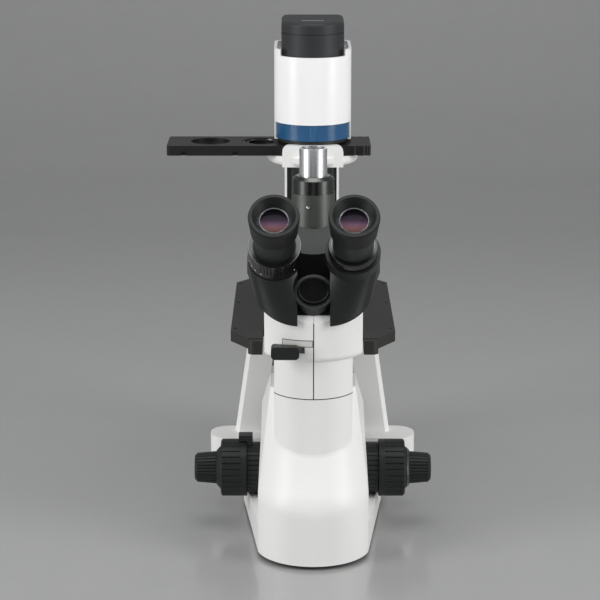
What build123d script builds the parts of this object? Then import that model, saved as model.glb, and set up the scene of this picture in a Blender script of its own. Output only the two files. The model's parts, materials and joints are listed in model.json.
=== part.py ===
"""Inverted microscope with a trinocular head, as separate pieces.

The origin is on the bench, straight below the objective that is in use.
+X is the user's right, +Y points away from the user and +Z is up.
All sizes are in millimetres.
"""

import os
from math import acos, atan2, cos, degrees, pi, radians, sin

from build123d import *

# Bench, base casting and bottom plate
FOOT_HEIGHT = 2.0
FOOT_RADIUS = 11.0
FOOT_PEG_RADIUS = 3.5
FRONT_FOOT_INSET = 16.5
REAR_FOOT_INSET = 16.0
FRONT_FOOT_SETBACK = 5.0
REAR_FOOT_SETBACK = 22.0
PLATE_THICKNESS = 2.0
PLATE_INSET = 2.0
CASTING_WALL = 5.0
APRON_WALL = 7.0
NOSE_FRONT = -224.0
NOSE_CORNER_X = 52.5
NOSE_CORNER_Y = -185.0
BASE_HALF_WIDTH = 70.0
BASE_WIDE_Y = -36.0
BASE_BACK = 172.0
BASE_BACK_RADIUS = 22.0
BASE_TOP = 63.0
APRON_SETDOWN = 4.0
APRON_TOP_FRONT = -160.0
APRON_TOP_CORNER_Y = -138.0
APRON_TOP_HALF_WIDTH = 41.0
APRON_TOP_BACK = -92.0
APRON_BACK = -62.0
NOSE_BLEND = 40.0
CREASE_BLEND = 6.0
FLANK_HALF_WIDTH = 50.2
FLANK_FRONT = -125.0
FLANK_FLOOR = 33.0
OPENING_REACH = 8.0
OPENING_HEADROOM = 20.0
POD_OUTER_X = 103.0
POD_INNER_X = 50.0
POD_FRONT = -62.0
POD_BACK = -19.0
POD_RISE = 15.0
POD_ROUND = 20.0
POD_FOOT_X = 66.0
POD_FOOT_Z = 17.0
POD_UNDERSIDE_Z = 42.0

# Tower column and the two half covers above it
COLUMN_HALF_WIDTH = 37.0
COLUMN_FRONT = -196.0
COLUMN_CORNER_Y = -172.0
COLUMN_BACK_STEP = 4.0
COLUMN_HEIGHT = 96.0
COVER_WALL = 3.0
COVER_SIDE_STEP = 9.0
COVER_FRONT_STEP = 5.0
COVER_CORNER_STEP = 4.0
COVER_NECK = 37.0
COVER_HEIGHT = 44.0
COVER_SEAM = 0.3
COVER_ROOF_HOLE_RADIUS = 24.0
TOWER_SETBACK = 24.0

# Stage and its legs
OBJECTIVE_LENGTH = 26.0
WORKING_DISTANCE = 20.5
STAGE_THICKNESS = 10.4
STAGE_CORNER = 18.0
STAGE_SIDE_Y = 100.0
PRONG_WIDTH = 13.5
STAGE_FRONT = -129.0
STAGE_BACK = 124.0
STAGE_OPENING_RADIUS = 51.0
INSERT_LEDGE = 4.0
INSERT_THICKNESS = 3.2
INSERT_HOLE_RADIUS = 15.0
INSERT_CLEARANCE = 0.2
STAGE_SCREW_RADIUS = 1.65
STAGE_SCREW_DEPTH = 8.0
STAGE_SCREW_INSET = 4.5
STAGE_SCREW_Y = (-91.0, 12.0, 95.0)
FORK_CLEARANCE = 2.5
RAIL_DEPTH = 8.0
RAIL_OVERHANG = 0.5
RAIL_HEIGHT = 14.0
RAIL_DROP = 0.6
RAIL_ROUND = 6.0
LEG_FRONT = -41.0
LEG_BACK = -21.0
LEG_FOOT_OUTER = 78.0
LEG_FOOT_INNER = 51.0
LEG_HEAD_OUTER = 62.0
LEG_HEAD_INNER = 35.0
LEG_BEVEL = 4.0

# Focus drive
KNOB_Y = -95.0
KNOB_Z = 58.7
SHAFT_RUNNING_GAP = 0.05
FINE_SHAFT_RADIUS = 2.5
COARSE_SHAFT_RADIUS = 4.5
COLLAR_GAP = 0.2
COLLAR_LENGTH = 14.0
COLLAR_RADIUS = 25.3
COARSE_GAP = 0.6
COARSE_RIM_WIDTH = 7.0
COARSE_LENGTH = 25.5
COARSE_RADIUS = 28.2
COARSE_RIBS = 28
COARSE_RIB_DEPTH = 0.9
COLLAR_RIBS = 32
COLLAR_RIB_DEPTH = 0.7
CONE_LENGTH = 4.5
CONE_RADIUS = 20.0
FINE_GAP = 0.4
FINE_LENGTH = 21.1
FINE_INNER_RADIUS = 16.0
FINE_OUTER_RADIUS = 14.4
FINE_RIBS = 28
FINE_RIB_DEPTH = 0.9
TENSION_TAB_RADIUS = 34.5
TENSION_TAB_WIDTH = 13.0
TENSION_TAB_THICKNESS = 5.0
TENSION_TAB_REACH = 8.5
TENSION_TAB_GAP = 0.8
BOSS_RADIUS = 31.0
BOSS_LENGTH = 6.2
SCALLOP_GAP = 1.2
PINION_PITCH_RADIUS = 6.0
PINION_TEETH = 15
PINION_HALF_WIDTH = 6.0

# Focus carriage, guide and nosepiece
CARRIAGE_HALF_WIDTH = 26.0
RACK_ROOT = 1.0
CARRIAGE_THICKNESS = 13.0
CARRIAGE_BOTTOM = 34.0
GUIDE_THICKNESS = 15.0
GUIDE_TOP = 100.0
SLIDE_GAP = 0.1
TONGUE_X = 20.0
TONGUE_WIDTH = 6.0
TONGUE_DEPTH = 5.0
BEAM_Z = 88.0
BEAM_RADIUS = 11.0
WINDOW_HALF_WIDTH = 14.0
WINDOW_HALF_HEIGHT = 16.0
ARM_GAP = 3.0
ARM_THICKNESS = 13.0
ARM_HALF_WIDTH = 22.0
NOSEPIECE_TILT = 16.0
NOSEPIECE_APEX_Z = 55.0
NOSEPIECE_BASE_RADIUS = 34.0
NOSEPIECE_BASE_TOP = 78.0
TURRET_GAP = 0.4
TURRET_RADIUS = 44.0
TURRET_RIM_HEIGHT = 12.0
TURRET_CROWN_HEIGHT = 10.5
TURRET_CROWN_RADIUS = 14.0
TURRET_PIN_RADIUS = 8.0
TURRET_PIN_LENGTH = 8.0
OBJECTIVE_SEAT_DEPTH = 2.0
OBJECTIVE_FLANGE_RADIUS = 12.0
OBJECTIVE_THREAD_RADIUS = 10.0
OBJECTIVE_THREAD_LENGTH = 5.0
OBJECTIVE_GAP = 0.05

# Pillar, lamp housing, slider and condenser
PILLAR_HALF_WIDTH = 29.0
PILLAR_DEPTH = 38.0
PILLAR_SETBACK = 6.0
PILLAR_SETDOWN = 13.0
PILLAR_ARM_RISE = 5.0
PILLAR_WALL = 4.0
PANEL_INSET = 2.5
PANEL_THICKNESS = 2.0
PANEL_RISE = 5.0
PANEL_GAP = 1.0
LAMP_RADIUS = 38.2
LAMP_WALL = 3.0
LAMP_BACK = 62.0
CELL_HEIGHT = 20.0
LAMP_SKIRT_GAP = 1.6
LAMP_SKIRT_FRONT = -6.0
LAMP_RIM_HEIGHT = 11.0
LAMP_RIM_NOTCH = 6.0
LAMP_RIM_GAP = 0.7
LAMP_HEIGHT = 61.0
CAP_SIDE_STEP = 7.2
CAP_BACK_STEP = 8.0
CAP_GROOVE_HEIGHT = 23.0
CAP_GROOVE = 1.0
CAP_HEIGHT = 35.0
CAP_ROUND = 4.0
CAP_SLOT_WIDTH = 23.0
CAP_SLOT_DEPTH = 4.0
CARRIER_RADIUS = 45.2
CARRIER_HEIGHT = 150.0
CARRIER_THICKNESS = 9.4
CARRIER_ROUND = 5.0
LIP_HALF_WIDTH = 30.0
LIP_THICKNESS = 11.2
LIP_RISE = 1.6
LIP_ROUND = 7.0
SLIDER_LEFT_END = 42.2
SLIDER_RIGHT = 57.3
SLIDER_HALF_DEPTH = 28.5
SLIDER_THICKNESS = 9.8
SLIDER_GAP = 0.3
SLIDER_FLOOR_GAP = 0.2
SLIDER_PITCH = 51.0
SLIDER_HOLE_RADIUS = 13.0
SLIDER_SEAT_RADIUS = 19.5
SLIDER_SEAT_DEPTH = 4.0
BAND_INSET = 1.0
BAND_RISE = 4.0
CELL_GAP = 1.8
CELL_BORE_RADIUS = 20.0
CELL_LEDGE = 3.0
CELL_LEDGE_HEIGHT = 4.0
CONDENSER_RADIUS = 21.0
CONDENSER_FLANGE = 6.0
CONDENSER_FLANGE_HEIGHT = 5.0
CONDENSER_LENGTH = 78.0
CONDENSER_WALL = 4.0
BULB_RISE = 33.0
BULB_RADIUS = 5.0
SOCKET_LENGTH = 20.0
SOCKET_SETBACK = 20.0

# Trinocular head, measured along and across the 45 degree eyepiece axes
HUB_SETBACK = 32.0
HUB_DROP = 1.5
HUB_FRONT = 20.0
EYEPIECE_X = 36.0
EYEPIECE_RISE = 28.3
WING_FLARE = 0.8
WING_GAP = 0.5
WING_DEPTH = 25.5
WING_TOP_STEP = 5.2
WING_TRIM = 21.0
FAN_X = 12.0
FAN_RISE = 14.0
FAN_RADIUS = 44.0
KNUCKLE_HEIGHT = 12.5
KNUCKLE_OVERLAP = 3.4
KNUCKLE_GAP = 0.4
HINGE_PIN_RADIUS = 8.0
HINGE_CAP_GAP = 0.6
HINGE_CAP_HEIGHT = 3.0
TUBE_RADIUS = 20.0
TUBE_LENGTH = 22.0
TUBE_BORE_RADIUS = 15.0
RING_WALL = 4.4
RING_GAP = 0.4
GRIP_LENGTH = 12.0
UPPER_RING_WALL = 2.5
EYEPIECE_BARREL_RADIUS = 19.0
EYEPIECE_LENGTH = 49.4
EYECUP_FLARE = 4.35
EYECUP_LENGTH = 24.0
EYECUP_WALL = 2.6
EYE_LENS_RADIUS = 12.5
EYE_LENS_DEPTH = 12.0
EYEPIECE_SPIGOT_LENGTH = 24.0
HEAD_HALF_WIDTH = 30.0
HEAD_ROUND = 6.0
HEAD_OVERHANG = 2.0
HEAD_HEIGHT = 68.0
PHOTO_TUBE_RADIUS = 20.6
PHOTO_TUBE_LENGTH = 31.0
PHOTO_RING_RADIUS = 20.0
PHOTO_RING_HEIGHT = 16.0
PHOTO_SLEEVE_RADIUS = 13.2
PHOTO_SLEEVE_LENGTH = 42.5
PHOTO_SLEEVE_WALL = 1.6
PHOTO_PASSAGE_RADIUS = 10.5

# Light path inside the stand
MIRROR_HALF = 14.0
MIRROR_BRACKET_BACK = 6.0
LIGHT_TUBE_WALL = 3.0
LIGHT_TUBE_LENGTH = 73.0
LIGHT_TUBE_SETDOWN = 3.0
TUBE_LENS_RADIUS = 16.0
TUBE_LENS_RISE = 20.0
LENS_GAP = 0.05
PRISM_RAIL_THICKNESS = 4.0
PRISM_HALF = 13.0
LEVER_RISE = 11.5
LEVER_LEFT = -39.4
LEVER_WIDTH = 26.1
LEVER_HEIGHT = 12.0
LEVER_DEPTH = 10.0
LEVER_STEM_HALF = 2.5
LEVER_TRAVEL = 15.0
LEVER_GAP = 0.6

# Electrical pieces
SUPPLY_BOX = (-45.0, 45.0, 60.0, 148.0, 40.0)
INLET_HALF_WIDTH = 14.0
INLET_HALF_HEIGHT = 11.0
INLET_Z = 32.0
INLET_WALL = 2.0
INLET_DEPTH = 14.0
ROCKER_X = 40.0
ROCKER_HALF_WIDTH = 7.0
ROCKER_HALF_HEIGHT = 10.5
DIAL_Y = 60.0
DIAL_Z = 36.0
DIAL_RADIUS = 11.0
DIAL_HEIGHT = 9.0

LOW = (Align.CENTER, Align.CENTER, Align.MIN)

# Places that follow from the sizes above
POD_TOP = BASE_TOP + POD_RISE
COLUMN_TOP = BASE_TOP + COLUMN_HEIGHT
APRON_TOP = COLUMN_TOP - APRON_SETDOWN
COVER_STEP_Z = COLUMN_TOP + COVER_NECK
COVER_TOP = COVER_STEP_Z + COVER_HEIGHT
COVER_HALF_WIDTH = COLUMN_HALF_WIDTH + COVER_SIDE_STEP
COVER_FRONT = COLUMN_FRONT - COVER_FRONT_STEP
COVER_CORNER_Y = COLUMN_CORNER_Y - COVER_CORNER_STEP
COLLAR_INNER_X = FLANK_HALF_WIDTH + COLLAR_GAP
COLLAR_OUTER_X = COLLAR_INNER_X + COLLAR_LENGTH
COARSE_INNER_X = COLLAR_OUTER_X + COARSE_GAP
COARSE_RIM_X = COARSE_INNER_X + COARSE_RIM_WIDTH
COARSE_OUTER_X = COARSE_INNER_X + COARSE_LENGTH
CONE_OUTER_X = COARSE_OUTER_X + CONE_LENGTH
FINE_INNER_X = CONE_OUTER_X + FINE_GAP
FINE_OUTER_X = FINE_INNER_X + FINE_LENGTH
BOSS_INNER_X = FLANK_HALF_WIDTH - BOSS_LENGTH
CARRIAGE_FRONT = KNOB_Y + PINION_PITCH_RADIUS + RACK_ROOT
CARRIAGE_BACK = CARRIAGE_FRONT + CARRIAGE_THICKNESS
GUIDE_BACK = CARRIAGE_BACK + GUIDE_THICKNESS
COLUMN_BACK = CARRIAGE_FRONT + COLUMN_BACK_STEP
COVER_BACK = COLUMN_BACK
TOWER_Y = COLUMN_BACK - TOWER_SETBACK
OPENING_FRONT = CARRIAGE_FRONT - OPENING_REACH
WINDOW_TOP = BEAM_Z + WINDOW_HALF_HEIGHT
ARM_BOTTOM = WINDOW_TOP + ARM_GAP
ARM_TOP = ARM_BOTTOM + ARM_THICKNESS
OPENING_TOP = ARM_TOP + OPENING_HEADROOM
WINDOW_BOTTOM = BEAM_Z - WINDOW_HALF_HEIGHT
TURRET_RIM_TOP = NOSEPIECE_BASE_TOP + TURRET_RIM_HEIGHT
TURRET_CROWN = TURRET_RIM_TOP + TURRET_CROWN_HEIGHT
OBJECTIVE_SEAT = TURRET_CROWN - OBJECTIVE_SEAT_DEPTH
STAGE_TOP = NOSEPIECE_APEX_Z + OBJECTIVE_SEAT + OBJECTIVE_LENGTH + WORKING_DISTANCE
STAGE_END_HALF_WIDTH = COVER_HALF_WIDTH + FORK_CLEARANCE + PRONG_WIDTH
STAGE_HALF_WIDTH = STAGE_END_HALF_WIDTH + STAGE_CORNER
STAGE_SCREW_X = STAGE_HALF_WIDTH - STAGE_SCREW_INSET
RAIL_HALF_WIDTH = STAGE_END_HALF_WIDTH + RAIL_OVERHANG
INSERT_RADIUS = STAGE_OPENING_RADIUS + INSERT_LEDGE
PANEL_BOTTOM = STAGE_TOP + PANEL_RISE
CARRIER_BOTTOM = STAGE_TOP + CARRIER_HEIGHT
PANEL_TOP = CARRIER_BOTTOM - PANEL_GAP
CARRIER_FLOOR = CARRIER_BOTTOM + CARRIER_THICKNESS
CONDENSER_BOTTOM = CARRIER_BOTTOM - CONDENSER_LENGTH
CONDENSER_BORE_RADIUS = CONDENSER_RADIUS - CONDENSER_WALL
CONDENSER_FLANGE_RADIUS = CONDENSER_RADIUS + CONDENSER_FLANGE
SLIDER_BOTTOM = CARRIER_FLOOR + SLIDER_FLOOR_GAP
SLIDER_TOP = SLIDER_BOTTOM + SLIDER_THICKNESS
LIP_TOP = SLIDER_TOP + LIP_RISE
LAMP_BOTTOM = LIP_TOP + CELL_HEIGHT
LAMP_SKIRT_BOTTOM = LIP_TOP + LAMP_SKIRT_GAP
LAMP_ROOF = LAMP_BOTTOM + LAMP_HEIGHT
LAMP_TOP = LAMP_ROOF + LAMP_RIM_HEIGHT
LAMP_FRONT_RIM = LAMP_TOP - LAMP_RIM_NOTCH
CAP_RADIUS = LAMP_RADIUS - CAP_SIDE_STEP
LAMP_RIM_HALF_WIDTH = CAP_RADIUS + LAMP_RIM_GAP
CAP_BACK = LAMP_BACK - CAP_BACK_STEP
CAP_BOTTOM = LAMP_ROOF + LAMP_WALL
CAP_GROOVE_Z = CAP_BOTTOM + CAP_GROOVE_HEIGHT
CAP_TOP = CAP_BOTTOM + CAP_HEIGHT
LIP_FRONT = -(SLIDER_HALF_DEPTH + SLIDER_GAP + LIP_THICKNESS)
SLIDER_LEFT = -(2 * SLIDER_PITCH + SLIDER_LEFT_END)
BAND_RADIUS = LAMP_RADIUS - BAND_INSET
BAND_BOTTOM = LIP_TOP + BAND_RISE
CELL_RADIUS = LAMP_RADIUS - LAMP_WALL - CELL_GAP
CELL_LEDGE_RADIUS = CELL_BORE_RADIUS - CELL_LEDGE
CELL_LEDGE_TOP = LIP_TOP + CELL_LEDGE_HEIGHT
BULB_Z = LAMP_BOTTOM + BULB_RISE
SOCKET_BACK = LAMP_BACK - SOCKET_SETBACK
SOCKET_FRONT = SOCKET_BACK - SOCKET_LENGTH
PILLAR_TOP = LAMP_TOP - PILLAR_SETDOWN
PILLAR_ARM_BOTTOM = LAMP_BOTTOM + PILLAR_ARM_RISE
PILLAR_BACK = BASE_BACK - PILLAR_SETBACK
PILLAR_FRONT = PILLAR_BACK - PILLAR_DEPTH
PANEL_HALF_WIDTH = PILLAR_HALF_WIDTH - PANEL_INSET
HUB_Y = COVER_FRONT + HUB_SETBACK
HUB_Z = COVER_TOP - HUB_DROP
WING_BACK = HUB_FRONT + WING_GAP
WING_SHOULDER = WING_BACK + WING_DEPTH
WING_TOP_RADIUS = TUBE_RADIUS + WING_TOP_STEP
BARREL_RADIUS = WING_TOP_RADIUS + WING_FLARE
WING_INNER_X = EYEPIECE_X - WING_TRIM
KNUCKLE_TOP = WING_BACK + KNUCKLE_HEIGHT
KNUCKLE_RADIUS = WING_INNER_X + KNUCKLE_OVERLAP
HINGE_CAP_RADIUS = WING_INNER_X - HINGE_CAP_GAP
TUBE_TOP = WING_SHOULDER + TUBE_LENGTH
COLLAR_TOP = WING_SHOULDER + GRIP_LENGTH
RING_RADIUS = TUBE_RADIUS + RING_WALL
UPPER_RING_RADIUS = TUBE_RADIUS + UPPER_RING_WALL
EYEPIECE_RIM = TUBE_TOP + EYEPIECE_LENGTH
EYECUP_RADIUS = EYEPIECE_BARREL_RADIUS + EYECUP_FLARE
HEAD_BACK = COVER_BACK + HEAD_OVERHANG
HEAD_TOP = COVER_TOP + HEAD_HEIGHT
PHOTO_TUBE_TOP = HEAD_TOP + PHOTO_TUBE_LENGTH
PHOTO_RING_TOP = PHOTO_TUBE_TOP + PHOTO_RING_HEIGHT
PHOTO_SLEEVE_TOP = PHOTO_TUBE_TOP + PHOTO_SLEEVE_LENGTH
PHOTO_BORE_RADIUS = PHOTO_SLEEVE_RADIUS - PHOTO_SLEEVE_WALL
LIGHT_TUBE_TOP = COVER_STEP_Z - LIGHT_TUBE_SETDOWN
LIGHT_TUBE_BOTTOM = LIGHT_TUBE_TOP - LIGHT_TUBE_LENGTH
TUBE_LENS_SEAT = LIGHT_TUBE_BOTTOM + TUBE_LENS_RISE
LIGHT_TUBE_RADIUS = TUBE_LENS_RADIUS + LIGHT_TUBE_WALL
LEVER_Z = COVER_STEP_Z + LEVER_RISE
LEVER_RIGHT = LEVER_LEFT + LEVER_WIDTH
CASTING_BOTTOM = FOOT_HEIGHT + PLATE_THICKNESS
STAGE_BOTTOM = STAGE_TOP - STAGE_THICKNESS
RAIL_BOTTOM = STAGE_TOP - RAIL_HEIGHT
FOOT_PLACES = (
    (FRONT_FOOT_INSET - NOSE_CORNER_X, NOSE_CORNER_Y + FRONT_FOOT_SETBACK),
    (NOSE_CORNER_X - FRONT_FOOT_INSET, NOSE_CORNER_Y + FRONT_FOOT_SETBACK),
    (0, 0),
    (REAR_FOOT_INSET - BASE_HALF_WIDTH, BASE_BACK - REAR_FOOT_SETBACK),
    (BASE_HALF_WIDTH - REAR_FOOT_INSET, BASE_BACK - REAR_FOOT_SETBACK),
)

# Frames: focus axle along +X, hub axis along the eyepieces, tilted turret axis
AXLE = Plane(origin=(0, KNOB_Y, KNOB_Z), x_dir=(0, 1, 0), z_dir=(1, 0, 0))
HUB = Plane(origin=(0, HUB_Y, HUB_Z), x_dir=(1, 0, 0), z_dir=(0, -1, 1))
TURRET = Plane(
    origin=(0, 0, NOSEPIECE_APEX_Z),
    x_dir=(1, 0, 0),
    z_dir=(0, sin(radians(NOSEPIECE_TILT)), cos(radians(NOSEPIECE_TILT))),
)


def block(x0, x1, y0, y1, z0, z1):
    """A box between two opposite corners."""
    return Pos(x0, y0, z0) * Box(
        x1 - x0, y1 - y0, z1 - z0, align=(Align.MIN, Align.MIN, Align.MIN)
    )


def disc(radius, bottom, top, x=0.0, y=0.0):
    """An upright cylinder between two heights."""
    return Pos(x, y, bottom) * Cylinder(radius, top - bottom, align=LOW)


def ring(outer, inner, bottom, top, x=0.0, y=0.0):
    """An upright tube between two heights."""
    return disc(outer, bottom, top, x, y) - disc(inner, bottom - 1, top + 1, x, y)


def turned(*points):
    """A solid of revolution about Z from (radius, height) points."""
    face = make_face(Polyline(*[(r, 0, z) for r, z in points], close=True))
    return revolve(face, Axis.Z)


def mirrored(solid):
    """The same piece on the other side of the middle plane."""
    return mirror(solid, Plane.YZ)


def nosed(half_width, front, corner_y, back, back_half_width=None):
    """A plan outline with an arched front, straight sides and a straight back."""
    wide = back_half_width or half_width
    left, right = (-half_width, corner_y), (half_width, corner_y)
    edges = [
        ThreePointArc(left, (0, front), right),
        Polyline(right, (wide, back), (-wide, back), left),
    ]
    return make_face(edges)


def stadium(radius, back, corner=0.0):
    """A plan outline with a half-round front about the origin and a square back."""
    edges = [
        ThreePointArc((-radius, 0), (0, -radius), (radius, 0)),
        Polyline((radius, 0), (radius, back), (-radius, back), (-radius, 0)),
    ]
    face = make_face(edges)
    if corner:
        face = fillet(face.vertices().sort_by(Axis.Y)[-2:], corner)
    return face


def prism(face, bottom, top):
    """A plan outline raised between two heights."""
    return extrude(Pos(0, 0, bottom) * face, top - bottom)


def on_axle(solid):
    return AXLE.location * solid


def on_hub(solid):
    return HUB.location * solid


def on_turret(solid):
    return TURRET.location * solid


def ribbed(radius, depth, count, bottom, top):
    """Evenly spaced V grooves for a round grip."""
    side = depth * 2**0.5
    groove = Pos(radius, 0, bottom - 1) * Rot(0, 0, 45)
    groove *= Box(side, side, top - bottom + 2, align=LOW)
    return [Rot(0, 0, 360 * i / count) * groove for i in range(count)]


# Base


def base_half_width(y):
    """Half width of the base outline between its nose corner and its wide part."""
    share = (y - NOSE_CORNER_Y) / (BASE_WIDE_Y - NOSE_CORNER_Y)
    return NOSE_CORNER_X + share * (BASE_HALF_WIDTH - NOSE_CORNER_X)


def base_outline(inset=0.0):
    """Plan of the base: rounded nose, widening sides and rounded back corners."""
    left, right = (-NOSE_CORNER_X, NOSE_CORNER_Y), (NOSE_CORNER_X, NOSE_CORNER_Y)
    edges = [
        ThreePointArc(left, (0, NOSE_FRONT), right),
        Polyline(
            right,
            (BASE_HALF_WIDTH, BASE_WIDE_Y),
            (BASE_HALF_WIDTH, BASE_BACK),
            (-BASE_HALF_WIDTH, BASE_BACK),
            (-BASE_HALF_WIDTH, BASE_WIDE_Y),
            left,
        ),
    ]
    face = make_face(edges)
    face = fillet(face.vertices().sort_by(Axis.Y)[-2:], BASE_BACK_RADIUS)
    return offset(face, -inset) if inset else face


def apron(inset, bottom, top):
    """The slope from the nose up to the back of the tower column."""
    low = nosed(
        NOSE_CORNER_X - inset,
        NOSE_FRONT + inset,
        NOSE_CORNER_Y,
        APRON_BACK - inset,
        base_half_width(APRON_BACK) - inset,
    )
    high = nosed(
        APRON_TOP_HALF_WIDTH - inset,
        APRON_TOP_FRONT + inset,
        APRON_TOP_CORNER_Y,
        APRON_TOP_BACK - inset,
    )
    return loft([Pos(0, 0, bottom) * low, Pos(0, 0, top) * high], ruled=True)


def column(inset, bottom, top):
    """The upright part of the tower that belongs to the casting."""
    face = nosed(
        COLUMN_HALF_WIDTH - inset,
        COLUMN_FRONT + inset,
        COLUMN_CORNER_Y,
        COLUMN_BACK - inset,
    )
    return prism(face, bottom, top)


def nose_and_column():
    """Base box, apron and column, blended at the nose and at the foot of the column."""
    solid = prism(base_outline(), CASTING_BOTTOM, BASE_TOP) + apron(0, BASE_TOP, APRON_TOP)
    level = solid.edges().filter_by_position(Axis.Z, BASE_TOP, BASE_TOP)
    solid = fillet(level.filter_by(GeomType.CIRCLE).sort_by(Axis.Y)[0], NOSE_BLEND)
    solid += column(0, BASE_TOP, COLUMN_TOP)

    def is_crease(edge):
        middle = edge.position_at(0.5)
        return abs(middle.Y - COLUMN_FRONT) < 0.1 and BASE_TOP < middle.Z < APRON_TOP

    return fillet(solid.edges().filter_by(is_crease), CREASE_BLEND)


def side_pod():
    """The rounded ear on the right, which carries a stage leg."""
    outer, foot = POD_OUTER_X, POD_FOOT_X
    edges = [
        Polyline(
            (foot, POD_FOOT_Z),
            (POD_INNER_X, POD_FOOT_Z),
            (POD_INNER_X, POD_TOP),
            (outer, POD_TOP),
            (outer, POD_UNDERSIDE_Z),
        ),
        RadiusArc(
            (outer, POD_UNDERSIDE_Z), (foot, POD_FOOT_Z), -(outer - foot) * 1.1
        ),
    ]
    section = make_face(edges)
    depth = POD_BACK - POD_FRONT
    solid = extrude(Plane.XZ.offset(-POD_BACK).location * section, depth)
    plan = Rectangle(POD_OUTER_X, depth, align=(Align.MIN, Align.CENTER))
    plan = fillet(plan.vertices().sort_by(Axis.X)[-2:], POD_ROUND)
    keep = prism(Pos(0, (POD_FRONT + POD_BACK) / 2) * plan, 0, POD_TOP)
    return solid & keep


def flank_recess(grow):
    """Room on the right for the focus knobs, open to the front, above the low base."""
    inner = FLANK_HALF_WIDTH - grow
    front = NOSE_CORNER_X - grow
    plan = make_face(
        Polyline(
            (front, NOSE_CORNER_Y),
            (inner, FLANK_FRONT),
            (inner, POD_FRONT + grow),
            (POD_OUTER_X + 20, POD_FRONT + grow),
            (POD_OUTER_X + 20, NOSE_CORNER_Y),
            close=True,
        )
    )
    return prism(plan, FLANK_FLOOR - grow, APRON_TOP + 1)


def base_casting():
    """One white casting: nose, apron, column, pods and the low rear box."""
    boss = FLANK_HALF_WIDTH - BOSS_INNER_X
    bosses = on_axle(Pos(0, 0, BOSS_INNER_X) * Cylinder(BOSS_RADIUS, boss, align=LOW))
    bosses += mirrored(bosses)
    wall = CASTING_WALL
    solid = nose_and_column() + side_pod() + mirrored(side_pod())
    solid -= flank_recess(0) + mirrored(flank_recess(0))
    hollow = prism(base_outline(wall), CASTING_BOTTOM - 1, BASE_TOP - wall)
    hollow += apron(APRON_WALL, BASE_TOP - wall, APRON_TOP - wall)
    hollow += column(wall, BASE_TOP - wall, COLUMN_TOP + 1)
    hollow -= flank_recess(wall) + mirrored(flank_recess(wall))
    solid = solid - hollow + bosses
    scallop = Pos(0, 0, COLLAR_INNER_X - SLIDE_GAP) * Cylinder(
        COLLAR_RADIUS + SCALLOP_GAP, 60, align=LOW
    )
    scallop = on_axle(scallop)
    bore = COARSE_SHAFT_RADIUS + SHAFT_RUNNING_GAP
    solid -= scallop + mirrored(scallop)
    solid -= on_axle(Cylinder(bore, 2 * COLLAR_INNER_X + 20))
    opening = ARM_HALF_WIDTH + 6
    solid -= block(
        -opening, opening, OPENING_FRONT, GUIDE_BACK + 1, BASE_TOP - wall - 1, OPENING_TOP
    )
    solid -= block(
        -INLET_HALF_WIDTH,
        INLET_HALF_WIDTH,
        BASE_BACK - wall - 1,
        BASE_BACK + 1,
        INLET_Z - INLET_HALF_HEIGHT,
        INLET_Z + INLET_HALF_HEIGHT,
    )
    solid -= rocker_box(0.4, 20)
    solid -= dial_axis(Cylinder(3 + SHAFT_RUNNING_GAP, 3 * wall))
    return solid


def base_plate():
    plate = prism(base_outline(PLATE_INSET), FOOT_HEIGHT, CASTING_BOTTOM)
    for x, y in FOOT_PLACES:
        plate -= disc(FOOT_PEG_RADIUS + 0.1, 0, CASTING_BOTTOM + 1, x, y)
    return plate


def rubber_feet():
    feet = []
    for x, y in FOOT_PLACES:
        foot = disc(FOOT_RADIUS, 0, FOOT_HEIGHT, x, y)
        feet.append(foot + disc(FOOT_PEG_RADIUS, 0, CASTING_BOTTOM, x, y))
    return feet


# Stage


def stage_leg():
    """The right leg, a slanted slab with a bevelled front edge."""
    section = make_face(
        Polyline(
            (LEG_FOOT_INNER, POD_TOP),
            (LEG_FOOT_OUTER, POD_TOP),
            (LEG_HEAD_OUTER, STAGE_BOTTOM),
            (LEG_HEAD_INNER, STAGE_BOTTOM),
            close=True,
        )
    )
    leg = extrude(Plane.XZ.offset(-LEG_BACK).location * section, LEG_BACK - LEG_FRONT)
    upright = leg.edges().filter_by(lambda e: abs(e.tangent_at(0.5).Z) > 0.9)
    outer_front = upright.group_by(Axis.Y)[0].sort_by(Axis.X)[-1]
    return chamfer(outer_front, LEG_BEVEL)


def fork_notch():
    """Room for the tower between the two front prongs of the stage."""
    half = COVER_HALF_WIDTH + FORK_CLEARANCE
    return block(
        -half, half, 2 * STAGE_FRONT, COVER_BACK + FORK_CLEARANCE, 0, 2 * STAGE_TOP
    )


def stage_plate():
    side, end = STAGE_HALF_WIDTH, STAGE_END_HALF_WIDTH
    outline = make_face(
        Polyline(
            (-end, STAGE_FRONT),
            (end, STAGE_FRONT),
            (side, -STAGE_SIDE_Y),
            (side, STAGE_SIDE_Y),
            (end, STAGE_BACK),
            (-end, STAGE_BACK),
            (-side, STAGE_SIDE_Y),
            (-side, -STAGE_SIDE_Y),
            close=True,
        )
    )
    plate = prism(outline, STAGE_BOTTOM, STAGE_TOP) - fork_notch()
    plate -= disc(STAGE_OPENING_RADIUS, STAGE_BOTTOM - 1, STAGE_TOP + 1)
    seat = STAGE_TOP - INSERT_THICKNESS
    plate -= disc(INSERT_RADIUS + INSERT_CLEARANCE, seat, STAGE_TOP + 1)
    for x in (-STAGE_SCREW_X, STAGE_SCREW_X):
        for y in STAGE_SCREW_Y:
            plate -= disc(
                STAGE_SCREW_RADIUS, STAGE_TOP - STAGE_SCREW_DEPTH, STAGE_TOP + 1, x, y
            )
    return plate


def stage_insert():
    return ring(
        INSERT_RADIUS, INSERT_HOLE_RADIUS, STAGE_TOP - INSERT_THICKNESS, STAGE_TOP
    )


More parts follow.
